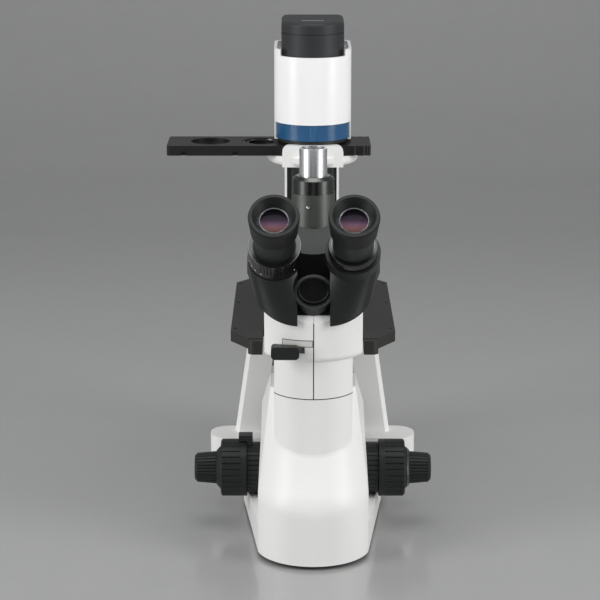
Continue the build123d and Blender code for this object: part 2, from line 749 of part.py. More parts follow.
def stage_front_rails():
    """The thick rounded bars on the two front prongs of the stage."""
    front = STAGE_FRONT - RAIL_DEPTH
    plan = Rectangle(
        2 * RAIL_HALF_WIDTH, 3 * RAIL_DEPTH, align=(Align.CENTER, Align.MIN)
    )
    plan = fillet(plan.vertices().sort_by(Axis.Y)[:2], RAIL_ROUND)
    rail = prism(Pos(0, front) * plan, RAIL_BOTTOM, STAGE_TOP - RAIL_DROP)
    above = block(
        -RAIL_HALF_WIDTH - 1, RAIL_HALF_WIDTH + 1, STAGE_FRONT, 0, STAGE_BOTTOM, 2 * STAGE_TOP
    )
    return (rail - above - fork_notch()).solids()


# Tower


def tower_shell(inset):
    """Both half covers as one body, smaller by an inset."""
    low = nosed(
        COLUMN_HALF_WIDTH - inset,
        COLUMN_FRONT + inset,
        COLUMN_CORNER_Y,
        COLUMN_BACK - inset,
    )
    high = nosed(
        COVER_HALF_WIDTH - inset,
        COVER_FRONT + inset,
        COVER_CORNER_Y,
        COVER_BACK - inset,
    )
    step = COVER_STEP_Z + (inset and COVER_WALL)
    shell = prism(low, COLUMN_TOP - (inset and 1), step + 1)
    upper = prism(high, step, COVER_TOP - inset)
    if not inset:
        upper = fillet(upper.faces().sort_by(Axis.Z)[0].edges(), 5)
    return shell + upper


def tower_covers():
    """Two shells that meet at the front and back middle seams."""
    shell = tower_shell(0) - tower_shell(COVER_WALL)
    shell -= disc(COVER_ROOF_HOLE_RADIUS, COVER_TOP - 10, COVER_TOP + 1, 0, TOWER_Y)
    shell -= on_hub(Pos(0, 0, HUB_FRONT - KNUCKLE_GAP) * Box(200, 200, 80, align=LOW))
    stem_left = (LEVER_LEFT + LEVER_RIGHT) / 2 - LEVER_STEM_HALF - LEVER_GAP
    stem_right = stem_left + 2 * (LEVER_STEM_HALF + LEVER_GAP) + LEVER_TRAVEL
    tall = LEVER_STEM_HALF + LEVER_GAP
    shell -= block(
        stem_left, stem_right, COVER_FRONT - 1, TOWER_Y, LEVER_Z - tall, LEVER_Z + tall
    )
    half = COVER_SEAM / 2
    wide = 2 * COVER_HALF_WIDTH
    depth = 2 * COVER_FRONT
    left = shell & block(-wide, -half, depth, 0, 0, COVER_TOP + 1)
    right = shell & block(half, wide, depth, 0, 0, COVER_TOP + 1)
    return left, right


def light_tube():
    """Tube in the column that holds the tube lens, on a flange at the column top."""
    tube = ring(
        LIGHT_TUBE_RADIUS,
        TUBE_LENS_RADIUS - 2,
        LIGHT_TUBE_BOTTOM,
        LIGHT_TUBE_TOP,
        0,
        TOWER_Y,
    )
    tube -= disc(TUBE_LENS_RADIUS, TUBE_LENS_SEAT, LIGHT_TUBE_TOP + 1, 0, TOWER_Y)
    plan = nosed(
        COLUMN_HALF_WIDTH - CASTING_WALL - 0.2,
        COLUMN_FRONT + CASTING_WALL + 0.2,
        COLUMN_CORNER_Y,
        COLUMN_BACK - CASTING_WALL - 0.2,
    )
    flange = prism(plan, COLUMN_TOP - 4, COLUMN_TOP)
    half = COLUMN_HALF_WIDTH - COVER_WALL - 2
    rail = block(
        -half,
        half,
        TOWER_Y - LIGHT_TUBE_RADIUS,
        TOWER_Y + LIGHT_TUBE_RADIUS,
        LIGHT_TUBE_TOP,
        LIGHT_TUBE_TOP + PRISM_RAIL_THICKNESS,
    )
    return tube + (flange + rail - disc(TUBE_LENS_RADIUS, 0, COVER_TOP, 0, TOWER_Y))


def tube_lens():
    rim = TUBE_LENS_RADIUS - LENS_GAP
    lens = turned((0, 0), (rim, 0), (rim, 3), (rim / 2, 5), (0, 5.6))
    return Pos(0, TOWER_Y, TUBE_LENS_SEAT) * lens


def fold_mirror(y, toward, bottom):
    """A wedge with its mirrored face at 45 degrees, on its bracket."""
    low, high = BEAM_Z - MIRROR_HALF, BEAM_Z + MIRROR_HALF
    near, far = y - toward * MIRROR_HALF, y + toward * MIRROR_HALF
    section = make_face(Polyline((near, low), (far, high), (far, low), close=True))
    wedge = extrude(Plane.YZ.offset(-MIRROR_HALF).location * section, 2 * MIRROR_HALF)
    half = MIRROR_HALF + 2
    return wedge + block(-half, half, y - half, y + MIRROR_BRACKET_BACK, bottom, low)


def light_path_lever():
    """Finger knob in front of the cover with a stem through the slot.

    Its back is cut to clear the arched cover at both ends of the travel.
    """
    middle = (LEVER_LEFT + LEVER_RIGHT) / 2
    knob = block(
        LEVER_LEFT,
        LEVER_RIGHT,
        COVER_FRONT - LEVER_DEPTH,
        COVER_FRONT + 9,
        LEVER_Z - LEVER_HEIGHT / 2,
        LEVER_Z + LEVER_HEIGHT / 2,
    )
    knob = fillet(knob.edges().filter_by(Axis.Y), 4)
    cover = tower_shell(-LEVER_GAP)
    knob -= cover + Pos(-LEVER_TRAVEL, 0, 0) * cover
    stem = block(
        middle - LEVER_STEM_HALF,
        middle + LEVER_STEM_HALF,
        COVER_FRONT - LEVER_DEPTH / 2,
        TOWER_Y - PRISM_HALF - 3,
        LEVER_Z - LEVER_STEM_HALF,
        LEVER_Z + LEVER_STEM_HALF,
    )
    return knob + stem


def prism_block():
    """The sliding prism that turns the beam toward the eyepieces."""
    floor = LIGHT_TUBE_TOP + PRISM_RAIL_THICKNESS + SLIDE_GAP
    middle = (LEVER_LEFT + LEVER_RIGHT) / 2
    return block(
        middle - LEVER_STEM_HALF,
        PRISM_HALF,
        TOWER_Y - PRISM_HALF - 3,
        TOWER_Y + PRISM_HALF + 3,
        floor,
        floor + 2 * PRISM_HALF - 3,
    )


# Focus drive


def coarse_knob():
    """Ribbed drum with a smooth inner rim and a cone toward the fine knob."""
    knob = turned(
        (COARSE_SHAFT_RADIUS, COARSE_INNER_X),
        (COARSE_RADIUS, COARSE_INNER_X),
        (COARSE_RADIUS, COARSE_OUTER_X - 1.5),
        (COARSE_RADIUS - 1.5, COARSE_OUTER_X),
        (CONE_RADIUS + 2, COARSE_OUTER_X),
        (CONE_RADIUS - 3, CONE_OUTER_X),
        (COARSE_SHAFT_RADIUS, CONE_OUTER_X),
    )
    return knob - ribbed(
        COARSE_RADIUS, COARSE_RIB_DEPTH, COARSE_RIBS, COARSE_RIM_X, COARSE_OUTER_X
    )


def fine_knob():
    knob = turned(
        (FINE_SHAFT_RADIUS, FINE_INNER_X),
        (FINE_INNER_RADIUS, FINE_INNER_X),
        (FINE_OUTER_RADIUS, FINE_OUTER_X - 2.5),
        (FINE_OUTER_RADIUS - 2.5, FINE_OUTER_X),
        (FINE_SHAFT_RADIUS, FINE_OUTER_X),
    )
    length = FINE_OUTER_X - FINE_INNER_X
    slope = degrees(atan2(FINE_INNER_RADIUS - FINE_OUTER_RADIUS, length))
    side = FINE_RIB_DEPTH * 2**0.5
    groove = Pos(FINE_INNER_RADIUS, 0, FINE_INNER_X) * Rot(0, -slope, 0) * Rot(0, 0, 45)
    groove *= Box(side, side, 3 * length)
    return knob - [Rot(0, 0, 360 * i / FINE_RIBS) * groove for i in range(FINE_RIBS)]


def coarse_shaft():
    bore = FINE_SHAFT_RADIUS + SHAFT_RUNNING_GAP
    return Cylinder(COARSE_SHAFT_RADIUS, 2 * CONE_OUTER_X) - Cylinder(
        bore, 2 * CONE_OUTER_X + 2
    )


def focus_collar():
    """Short drum between the casting and the coarse knob."""
    bore = COARSE_SHAFT_RADIUS + SHAFT_RUNNING_GAP
    drum = ring(COLLAR_RADIUS, bore, COLLAR_INNER_X, COLLAR_OUTER_X)
    return drum - ribbed(
        COLLAR_RADIUS, COLLAR_RIB_DEPTH, COLLAR_RIBS, COLLAR_INNER_X, COLLAR_OUTER_X
    )


def tension_ring():
    """Collar with a finger tab over the coarse knob, which sets how stiff that turns."""
    half = TENSION_TAB_WIDTH / 2
    neck = COLLAR_OUTER_X - TENSION_TAB_THICKNESS
    tip = COLLAR_OUTER_X + TENSION_TAB_REACH
    tab = block(-half, half, COLLAR_RADIUS - 4, TENSION_TAB_RADIUS, neck, COLLAR_OUTER_X)
    under = COARSE_RADIUS + TENSION_TAB_GAP
    return focus_collar() + tab + block(-half, half, under, TENSION_TAB_RADIUS, neck, tip)


def tooth_gaps(count, pitch_radius, half_width):
    """Gaps between the teeth of a small gear."""
    module = 2 * pitch_radius / count
    width = pi * module / 2
    gap = make_face(
        Polyline(
            (pitch_radius - 1.25 * module, -width * 0.3),
            (pitch_radius + 1.2 * module, -width * 0.85),
            (pitch_radius + 1.2 * module, width * 0.85),
            (pitch_radius - 1.25 * module, width * 0.3),
            close=True,
        )
    )
    cut = Pos(0, 0, -half_width - 1) * extrude(gap, 2 * half_width + 2)
    return [Rot(0, 0, 360 * i / count) * cut for i in range(count)]


def focus_pinion():
    module = 2 * PINION_PITCH_RADIUS / PINION_TEETH
    wheel = Cylinder(PINION_PITCH_RADIUS + module * 0.9, 2 * PINION_HALF_WIDTH)
    wheel -= tooth_gaps(PINION_TEETH, PINION_PITCH_RADIUS, PINION_HALF_WIDTH)
    return wheel - Cylinder(COARSE_SHAFT_RADIUS, 4 * PINION_HALF_WIDTH)


def focus_guide():
    """Fixed post with two upright tongues and a window for the light."""
    guide = block(
        -CARRIAGE_HALF_WIDTH,
        CARRIAGE_HALF_WIDTH,
        CARRIAGE_BACK + SLIDE_GAP,
        GUIDE_BACK,
        CASTING_BOTTOM,
        GUIDE_TOP,
    )
    for x in (-TONGUE_X, TONGUE_X):
        guide += block(
            x - TONGUE_WIDTH / 2,
            x + TONGUE_WIDTH / 2,
            CARRIAGE_BACK - TONGUE_DEPTH + SLIDE_GAP,
            GUIDE_BACK,
            CASTING_BOTTOM,
            GUIDE_TOP,
        )
    return guide - beam_window()


def beam_window():
    return block(
        -WINDOW_HALF_WIDTH,
        WINDOW_HALF_WIDTH,
        CARRIAGE_FRONT - 20,
        GUIDE_BACK + 1,
        WINDOW_BOTTOM,
        WINDOW_TOP,
    )


def rack_teeth():
    """A straight row of teeth that meets the pinion."""
    module = 2 * PINION_PITCH_RADIUS / PINION_TEETH
    pitch = pi * module
    pitch_y = KNOB_Y + PINION_PITCH_RADIUS
    top, root = pitch_y - 0.8 * module, CARRIAGE_FRONT
    low = int((CARRIAGE_BOTTOM - KNOB_Z) / pitch) + 1
    high = int((WINDOW_BOTTOM - KNOB_Z) / pitch)
    teeth = []
    for i in range(low, high):
        z = KNOB_Z + i * pitch
        face = make_face(
            Polyline(
                (root, z - 0.33 * pitch),
                (top, z - 0.11 * pitch),
                (top, z + 0.11 * pitch),
                (root, z + 0.33 * pitch),
                close=True,
            )
        )
        tooth = extrude(
            Plane.YZ.offset(-PINION_HALF_WIDTH + 1).location * face,
            2 * PINION_HALF_WIDTH - 2,
        )
        teeth.append(tooth)
    return teeth


def focus_carriage():
    """Upright slide with the rack in front and the nosepiece arm at its top."""
    slide = block(
        -CARRIAGE_HALF_WIDTH,
        CARRIAGE_HALF_WIDTH,
        CARRIAGE_FRONT,
        CARRIAGE_BACK,
        CARRIAGE_BOTTOM,
        ARM_TOP,
    )
    for x in (-TONGUE_X, TONGUE_X):
        slide -= block(
            x - TONGUE_WIDTH / 2 - SLIDE_GAP,
            x + TONGUE_WIDTH / 2 + SLIDE_GAP,
            CARRIAGE_BACK - TONGUE_DEPTH,
            CARRIAGE_BACK + 1,
            CARRIAGE_BOTTOM - 1,
            ARM_BOTTOM,
        )
    slide -= beam_window()
    centre_y = NOSEPIECE_BASE_TOP * sin(radians(NOSEPIECE_TILT))
    arm = block(
        -ARM_HALF_WIDTH, ARM_HALF_WIDTH, CARRIAGE_FRONT, centre_y, ARM_BOTTOM, ARM_TOP
    )
    arm += disc(NOSEPIECE_BASE_RADIUS, ARM_BOTTOM, ARM_TOP, 0, centre_y)
    arm -= disc(BEAM_RADIUS, 0, STAGE_TOP)
    return slide + arm + rack_teeth()


def nosepiece_base():
    """Wedge that tilts the turret so that the objective in use stands upright."""
    drum = on_turret(disc(NOSEPIECE_BASE_RADIUS, 0, NOSEPIECE_BASE_TOP))
    wide = 3 * NOSEPIECE_BASE_RADIUS
    drum -= block(-wide, wide, -wide, wide, 0, ARM_TOP)
    drum -= disc(BEAM_RADIUS, 0, STAGE_TOP)
    pin = TURRET_PIN_RADIUS + SHAFT_RUNNING_GAP
    return drum - on_turret(disc(pin, 0, TURRET_CROWN))


def on_objective_axis(solid, place):
    """Stands a piece made along Z on one of the turret's four axes."""
    turn = Rot(0, 0, 90 * place) * Rot(NOSEPIECE_TILT, 0, 0)
    return on_turret(turn * solid)


def nosepiece_turret():
    turret = turned(
        (0, NOSEPIECE_BASE_TOP + TURRET_GAP),
        (TURRET_RADIUS - 1, NOSEPIECE_BASE_TOP + TURRET_GAP),
        (TURRET_RADIUS, NOSEPIECE_BASE_TOP + TURRET_GAP + 1),
        (TURRET_RADIUS, TURRET_RIM_TOP),
        (TURRET_CROWN_RADIUS, TURRET_CROWN),
        (0, TURRET_CROWN),
    )
    grooves = ribbed(
        TURRET_RADIUS, 0.7, 60, NOSEPIECE_BASE_TOP, TURRET_RIM_TOP - 2
    )
    turret = turret - grooves
    turret += disc(TURRET_PIN_RADIUS, NOSEPIECE_BASE_TOP - TURRET_PIN_LENGTH, NOSEPIECE_BASE_TOP + 1)
    turret = on_turret(turret)
    for place in range(4):
        hole = disc(OBJECTIVE_THREAD_RADIUS, OBJECTIVE_SEAT - 6, 2 * OBJECTIVE_SEAT)
        hole += disc(OBJECTIVE_THREAD_RADIUS - 2, 0, OBJECTIVE_SEAT)
        hole += disc(OBJECTIVE_FLANGE_RADIUS + 0.6, OBJECTIVE_SEAT, 2 * OBJECTIVE_SEAT)
        turret -= on_objective_axis(hole, place)
    return turret


def objective(place, length, barrel, tip):
    """A long working distance objective with a threaded foot and a tapered tip."""
    seat = OBJECTIVE_SEAT + 0.02
    thread = OBJECTIVE_THREAD_RADIUS - OBJECTIVE_GAP
    body = turned(
        (6, seat - OBJECTIVE_THREAD_LENGTH),
        (thread, seat - OBJECTIVE_THREAD_LENGTH),
        (thread, seat),
        (OBJECTIVE_FLANGE_RADIUS, seat),
        (OBJECTIVE_FLANGE_RADIUS, seat + 6),
        (barrel, seat + 7.5),
        (barrel, seat + length - 7),
        (tip + 1, seat + length),
        (tip - 1.5, seat + length),
        (tip - 1.5, seat + length - 1),
        (0, seat + length - 1),
        (0, seat + length - 3),
        (6, seat + length - 5),
    )
    return on_objective_axis(body, place)


# Pillar and illumination


def pillar():
    outer = block(
        -PILLAR_HALF_WIDTH,
        PILLAR_HALF_WIDTH,
        PILLAR_FRONT,
        PILLAR_BACK,
        BASE_TOP,
        PILLAR_TOP,
    )
    outer = fillet(outer.edges().filter_by(Axis.Z), 5)
    arm = block(
        -PILLAR_HALF_WIDTH,
        PILLAR_HALF_WIDTH,
        LAMP_BACK,
        PILLAR_FRONT + 6,
        PILLAR_ARM_BOTTOM,
        PILLAR_TOP,
    )
    wall = PILLAR_WALL
    return arm + outer - block(
        -PILLAR_HALF_WIDTH + wall,
        PILLAR_HALF_WIDTH - wall,
        PILLAR_FRONT + wall,
        PILLAR_BACK - wall,
        BASE_TOP - 1,
        PILLAR_TOP - wall,
    )


def pillar_front_panel():
    return block(
        -PANEL_HALF_WIDTH,
        PANEL_HALF_WIDTH,
        PILLAR_FRONT - PANEL_THICKNESS,
        PILLAR_FRONT,
        PANEL_BOTTOM,
        PANEL_TOP,
    )


def lamp_housing():
    """Shell with a half-round front, a lower front rim and two side skirts."""
    outline = stadium(LAMP_RADIUS, LAMP_BACK, 10)
    inside = stadium(LAMP_RADIUS - LAMP_WALL, LAMP_BACK - LAMP_WALL, 8)
    shell = prism(outline, LAMP_SKIRT_BOTTOM, LAMP_TOP)
    shell -= prism(inside, LAMP_SKIRT_BOTTOM - 1, LAMP_TOP + 1)
    roof = prism(inside, LAMP_ROOF, LAMP_ROOF + LAMP_WALL)
    hole = stadium(CAP_RADIUS - 6, CAP_BACK - 6)
    roof -= prism(hole, LAMP_ROOF - 1, LAMP_TOP)
    shell += roof
    wide = 2 * LAMP_RADIUS
    shell -= block(-wide, wide, -wide, LAMP_SKIRT_FRONT, 0, LAMP_BOTTOM)
    shell -= block(
        -LAMP_RIM_HALF_WIDTH, LAMP_RIM_HALF_WIDTH, -wide, 0, LAMP_FRONT_RIM, LAMP_TOP + 1
    )
    return shell


def lamp_cap():
    """Hollow cap with a groove around it, a rounded top and a slot."""
    cap = prism(stadium(CAP_RADIUS, CAP_BACK, 8), CAP_BOTTOM, CAP_TOP)
    cap = fillet(cap.faces().sort_by(Axis.Z)[-1].edges(), CAP_ROUND)
    groove = prism(stadium(CAP_RADIUS + 5, CAP_BACK + 5), 0, CAP_GROOVE)
    groove -= prism(stadium(CAP_RADIUS - CAP_GROOVE, CAP_BACK - CAP_GROOVE, 7), -1, 3)
    hollow = prism(stadium(CAP_RADIUS - 4, CAP_BACK - 4), CAP_BOTTOM - 1, CAP_TOP - 5)
    slot = block(
        -CAP_SLOT_WIDTH / 2,
        CAP_SLOT_WIDTH / 2,
        -CAP_SLOT_DEPTH,
        CAP_SLOT_DEPTH,
        CAP_TOP - 3,
        CAP_TOP + 1,
    )
    return cap - Pos(0, 0, CAP_GROOVE_Z) * groove - hollow - slot


def blue_band():
    """Coloured front arc below the lamp housing."""
    band = ring(BAND_RADIUS, CELL_RADIUS + 0.1, BAND_BOTTOM, LAMP_BOTTOM - 0.2)
    wide = 2 * LAMP_RADIUS
    return band & block(-wide, wide, -wide, LAMP_SKIRT_FRONT - 0.3, 0, LAMP_TOP)


def collector_cell():
    """Lens mount that stands on the slider carrier."""
    cell = disc(CELL_RADIUS, LIP_TOP, LAMP_BOTTOM)
    cell -= disc(CELL_BORE_RADIUS, CELL_LEDGE_TOP, LAMP_BOTTOM + 1)
    return cell - disc(CELL_LEDGE_RADIUS, 0, LAMP_BOTTOM + 1)


def collector_lens():
    rim = CELL_BORE_RADIUS - 0.05
    return Pos(0, 0, CELL_LEDGE_TOP) * turned(
        (0, 0), (rim, 0), (rim, 4), (rim * 0.75, 8), (rim * 0.4, 10.5), (0, 11.5)
    )


def lamp_socket():
    """Ceramic socket on a bracket that spans the lamp housing."""
    half = LAMP_RADIUS - LAMP_WALL
    bracket = block(-half, half, SOCKET_BACK, SOCKET_BACK + 2, BULB_Z - 24, BULB_Z + 24)
    return bracket + block(
        -10, 10, SOCKET_FRONT, SOCKET_BACK, BULB_Z - 10, BULB_Z + 10
    )


def lamp_bulb():
    stem = Plane(origin=(0, SOCKET_FRONT, BULB_Z), z_dir=(0, -1, 0))
    capsule = turned(
        (0, 0), (BULB_RADIUS, 0), (BULB_RADIUS, 20), (BULB_RADIUS * 0.5, 24), (0, 25)
    )
    return stem.location * capsule


def slider_carrier():
    """Round tray with a front lip and an arm back to the pillar."""
    tray = disc(CARRIER_RADIUS, CARRIER_BOTTOM, CARRIER_FLOOR)
    tray = fillet(tray.faces().sort_by(Axis.Z)[0].edges(), CARRIER_ROUND)
    side = SLIDER_HALF_DEPTH + SLIDER_GAP
    lip = block(
        -LIP_HALF_WIDTH, LIP_HALF_WIDTH, LIP_FRONT, -side, CARRIER_BOTTOM, LIP_TOP
    )
    top_corners = lip.edges().filter_by(Axis.Y).group_by(Axis.Z)[-1]
    lip = fillet(top_corners, LIP_ROUND)
    arm = block(
        -LIP_HALF_WIDTH + 2,
        LIP_HALF_WIDTH - 2,
        side,
        PILLAR_FRONT,
        CARRIER_BOTTOM,
        LIP_TOP,
    )
    return tray + lip + arm - disc(CONDENSER_BORE_RADIUS, 0, LIP_TOP + 1)


def phase_slider():
    """Bar with three ring seats, notched front edge and a fluted grip."""
    bar = block(
        SLIDER_LEFT,
        SLIDER_RIGHT,
        -SLIDER_HALF_DEPTH,
        SLIDER_HALF_DEPTH,
        SLIDER_BOTTOM,
        SLIDER_TOP,
    )
    bar = chamfer(bar.edges().filter_by(Axis.Z), 2)
    for i in range(3):
        x = -i * SLIDER_PITCH
        bar -= disc(SLIDER_HOLE_RADIUS, 0, SLIDER_TOP + 1, x)
        bar -= disc(SLIDER_SEAT_RADIUS, SLIDER_TOP - SLIDER_SEAT_DEPTH, SLIDER_TOP + 1, x)
        notch = x - SLIDER_PITCH / 2
        bar -= block(
            notch - 2.5,
            notch + 2.5,
            -SLIDER_HALF_DEPTH - 1,
            -SLIDER_HALF_DEPTH + 2,
            SLIDER_BOTTOM - 1,
            SLIDER_BOTTOM + 4,
        )
    for x in (SLIDER_RIGHT - 14, SLIDER_RIGHT - 5):
        for y in (-SLIDER_HALF_DEPTH - 1.5, SLIDER_HALF_DEPTH + 1.5):
            bar -= disc(3, 0, SLIDER_TOP + 1, x, y)
    return bar


def condenser_barrel():
    barrel = disc(CONDENSER_RADIUS, CONDENSER_BOTTOM, CARRIER_BOTTOM)
    barrel += disc(
        CONDENSER_FLANGE_RADIUS,
        CARRIER_BOTTOM - CONDENSER_FLANGE_HEIGHT,
        CARRIER_BOTTOM,
    )
    barrel -= disc(CONDENSER_BORE_RADIUS, CONDENSER_BOTTOM + 3, CARRIER_BOTTOM + 1)
    return barrel - disc(CONDENSER_BORE_RADIUS - 3, 0, CARRIER_BOTTOM + 1)


def condenser_lens():
    rim = CONDENSER_BORE_RADIUS - 0.05
    return Pos(0, 0, CONDENSER_BOTTOM + 3) * turned(
        (0, 0), (rim, 0), (rim, 4), (rim * 0.7, 8), (0, 10)
    )


# Trinocular head


def head_body():
    """Black block on the tower with a 45 degree front, along which the housings swing."""
    front = HUB_Y + (HEAD_TOP - HUB_Z) - HUB_FRONT * 2**0.5
    profile = make_face(
        Polyline(
            (front - (HEAD_TOP - COVER_TOP), COVER_TOP),
            (HEAD_BACK, COVER_TOP),
            (HEAD_BACK, HEAD_TOP),
            (front, HEAD_TOP),
            close=True,
        )
    )
    body = extrude(
        Plane.YZ.offset(-HEAD_HALF_WIDTH).location * profile, 2 * HEAD_HALF_WIDTH
    )
    rear = body.edges().filter_by(Axis.Z).group_by(Axis.Y)[-1]
    body = fillet(rear, HEAD_ROUND)
    body += on_hub(disc(HINGE_PIN_RADIUS, HUB_FRONT - 1, KNUCKLE_TOP + 1))
    cap_bottom = KNUCKLE_TOP + KNUCKLE_GAP / 2
    cap = disc(HINGE_CAP_RADIUS, cap_bottom, cap_bottom + HINGE_CAP_HEIGHT)
    cap = fillet(cap.faces().sort_by(Axis.Z)[-1].edges(), HINGE_CAP_HEIGHT / 2)
    body += on_hub(cap)
    return body - disc(PHOTO_PASSAGE_RADIUS, 0, HEAD_TOP + 1, 0, TOWER_Y)


def wing_outlines():
    """Fan at the back of the left housing and trimmed circle at its shoulder."""
    inner, x, rise = -WING_INNER_X, -EYEPIECE_X, EYEPIECE_RISE

    def on_circle(centre_x, centre_rise, radius, angle):
        turn = radians(angle)
        return centre_x + radius * cos(turn), centre_rise + radius * sin(turn)

    def crossing(centre_x, radius):
        return degrees(acos((inner - centre_x) / radius))

    def outline(fan_x, fan_rise, fan_radius, radius):
        start = -crossing(fan_x, fan_radius)
        stop = crossing(x, radius)
        fan = [on_circle(fan_x, fan_rise, fan_radius, a) for a in (start, (start - 175) / 2, -175)]
        top = [on_circle(x, rise, radius, a) for a in (180, (180 + stop) / 2, stop)]
        return make_face(
            [
                ThreePointArc(*fan),
                Line(fan[2], top[0]),
                ThreePointArc(*top),
                Line(top[2], fan[0]),
            ]
        )

    back = outline(-FAN_X, FAN_RISE, FAN_RADIUS, BARREL_RADIUS)
    shoulder = outline(x, rise, WING_TOP_RADIUS, WING_TOP_RADIUS)
    return back, shoulder


def left_wing_shell():
    """Smooth housing that narrows from the hub to the eyepiece tube."""
    back, shoulder = wing_outlines()
    return loft([Pos(0, 0, WING_BACK) * back, Pos(0, 0, WING_SHOULDER) * shoulder], ruled=True)


def wing(side, knuckle, other):
    """Prism housing of one eyepiece, with its hinge knuckle and its tube."""
    x, rise = side * EYEPIECE_X, EYEPIECE_RISE
    body = left_wing_shell()
    body = mirrored(body) if side > 0 else body
    body -= disc(KNUCKLE_RADIUS + KNUCKLE_GAP, *other)
    body += disc(KNUCKLE_RADIUS, *knuckle)
    body += disc(TUBE_RADIUS, WING_SHOULDER - 1, TUBE_TOP, x, rise)
    if side > 0:
        body += disc(WING_TOP_RADIUS, WING_SHOULDER - 1, COLLAR_TOP, x, rise)
        body += disc(UPPER_RING_RADIUS, COLLAR_TOP - 1, TUBE_TOP - RING_GAP, x, rise)
    body -= disc(TUBE_BORE_RADIUS, TUBE_TOP - EYEPIECE_SPIGOT_LENGTH, 200, x, rise)
    body -= disc(HINGE_PIN_RADIUS + SHAFT_RUNNING_GAP, 0, KNUCKLE_TOP)
    return on_hub(body)


def diopter_ring():
    bottom, top = WING_SHOULDER + RING_GAP, TUBE_TOP - RING_GAP
    grip = ring(RING_RADIUS, TUBE_RADIUS + SHAFT_RUNNING_GAP, bottom, top)
    grip -= ribbed(RING_RADIUS, 0.5, 48, bottom + 9, top + 1)
    return on_hub(Pos(-EYEPIECE_X, EYEPIECE_RISE) * grip)


def eyepiece(side):
    """Barrel with a spigot that slides into the tube."""
    low = TUBE_TOP - EYEPIECE_SPIGOT_LENGTH
    lens_z = EYEPIECE_RIM - EYE_LENS_DEPTH
    barrel = turned(
        (TUBE_BORE_RADIUS - 3, low),
        (TUBE_BORE_RADIUS - OBJECTIVE_GAP, low),
        (TUBE_BORE_RADIUS - OBJECTIVE_GAP, TUBE_TOP),
        (EYEPIECE_BARREL_RADIUS, TUBE_TOP),
        (EYEPIECE_BARREL_RADIUS, lens_z + 3),
        (EYE_LENS_RADIUS, lens_z + 3),
        (EYE_LENS_RADIUS, lens_z),
        (TUBE_BORE_RADIUS - 3, lens_z),
    )
    return on_hub(Pos(side * EYEPIECE_X, EYEPIECE_RISE) * barrel)


def eyecup(side):
    """Rubber cup that flares toward the eye."""
    base = EYEPIECE_RIM - EYECUP_LENGTH
    fit = EYEPIECE_BARREL_RADIUS + 0.02
    cup = turned(
        (fit, base),
        (fit + EYECUP_WALL, base),
        (EYECUP_RADIUS, EYEPIECE_RIM - 3),
        (EYECUP_RADIUS - 0.8, EYEPIECE_RIM),
        (EYECUP_RADIUS - EYECUP_WALL - 1, EYEPIECE_RIM),
        (EYE_LENS_RADIUS + 1.5, EYEPIECE_RIM - EYE_LENS_DEPTH + 3.02),
        (fit, EYEPIECE_RIM - EYE_LENS_DEPTH + 3.02),
    )
    return on_hub(Pos(side * EYEPIECE_X, EYEPIECE_RISE) * cup)


def eye_lens(side):
    lens_z = EYEPIECE_RIM - EYE_LENS_DEPTH
    rim = EYE_LENS_RADIUS - 0.05
    lens = turned((0, lens_z), (rim, lens_z), (rim, lens_z + 2), (rim / 2, lens_z + 3.4), (0, lens_z + 4))
    return on_hub(Pos(side * EYEPIECE_X, EYEPIECE_RISE) * lens)


def photo_tube():
    tube = disc(PHOTO_TUBE_RADIUS, HEAD_TOP, PHOTO_TUBE_TOP, 0, TOWER_Y)
    return tube - disc(PHOTO_PASSAGE_RADIUS, 0, PHOTO_TUBE_TOP + 1, 0, TOWER_Y)


def photo_ring():
    body = turned(
        (PHOTO_SLEEVE_RADIUS, PHOTO_TUBE_TOP),
        (PHOTO_RING_RADIUS, PHOTO_TUBE_TOP),
        (PHOTO_RING_RADIUS, PHOTO_RING_TOP - 3),
        (PHOTO_RING_RADIUS - 4, PHOTO_RING_TOP),
        (PHOTO_SLEEVE_RADIUS, PHOTO_RING_TOP),
    )
    return Pos(0, TOWER_Y, 0) * body


def photo_sleeve():
    return ring(
        PHOTO_SLEEVE_RADIUS,
        PHOTO_BORE_RADIUS,
        PHOTO_TUBE_TOP,
        PHOTO_SLEEVE_TOP,
        0,
        TOWER_Y,
    )


# Electrical pieces


def power_supply():
    x0, x1, y0, y1, top = SUPPLY_BOX
    return block(x0, x1, y0, y1, CASTING_BOTTOM, CASTING_BOTTOM + top)


def power_inlet():
    """Three-pin appliance inlet in the back wall."""
    inner = BASE_BACK - INLET_DEPTH
    shell = block(
        -INLET_HALF_WIDTH + 0.1,
        INLET_HALF_WIDTH - 0.1,
        inner,
        BASE_BACK + 1.5,
        INLET_Z - INLET_HALF_HEIGHT + 0.1,
        INLET_Z + INLET_HALF_HEIGHT - 0.1,
    )
    wide, tall = INLET_HALF_WIDTH - INLET_WALL, INLET_HALF_HEIGHT - INLET_WALL
    shell -= block(-wide, wide, inner + 3, BASE_BACK + 3, INLET_Z - tall, INLET_Z + tall)
    for x, z in ((-INLET_HALF_WIDTH / 2, -2), (0, 2), (INLET_HALF_WIDTH / 2, -2)):
        shell += block(x - 1, x + 1, inner, BASE_BACK - 1, INLET_Z + z - 2, INLET_Z + z + 2)
    return shell


def rocker_box(gap, depth):
    return block(
        ROCKER_X - ROCKER_HALF_WIDTH - gap,
        ROCKER_X + ROCKER_HALF_WIDTH + gap,
        BASE_BACK - depth / 2,
        BASE_BACK + depth / 2,
        INLET_Z - ROCKER_HALF_HEIGHT - gap,
        INLET_Z + ROCKER_HALF_HEIGHT + gap,
    )


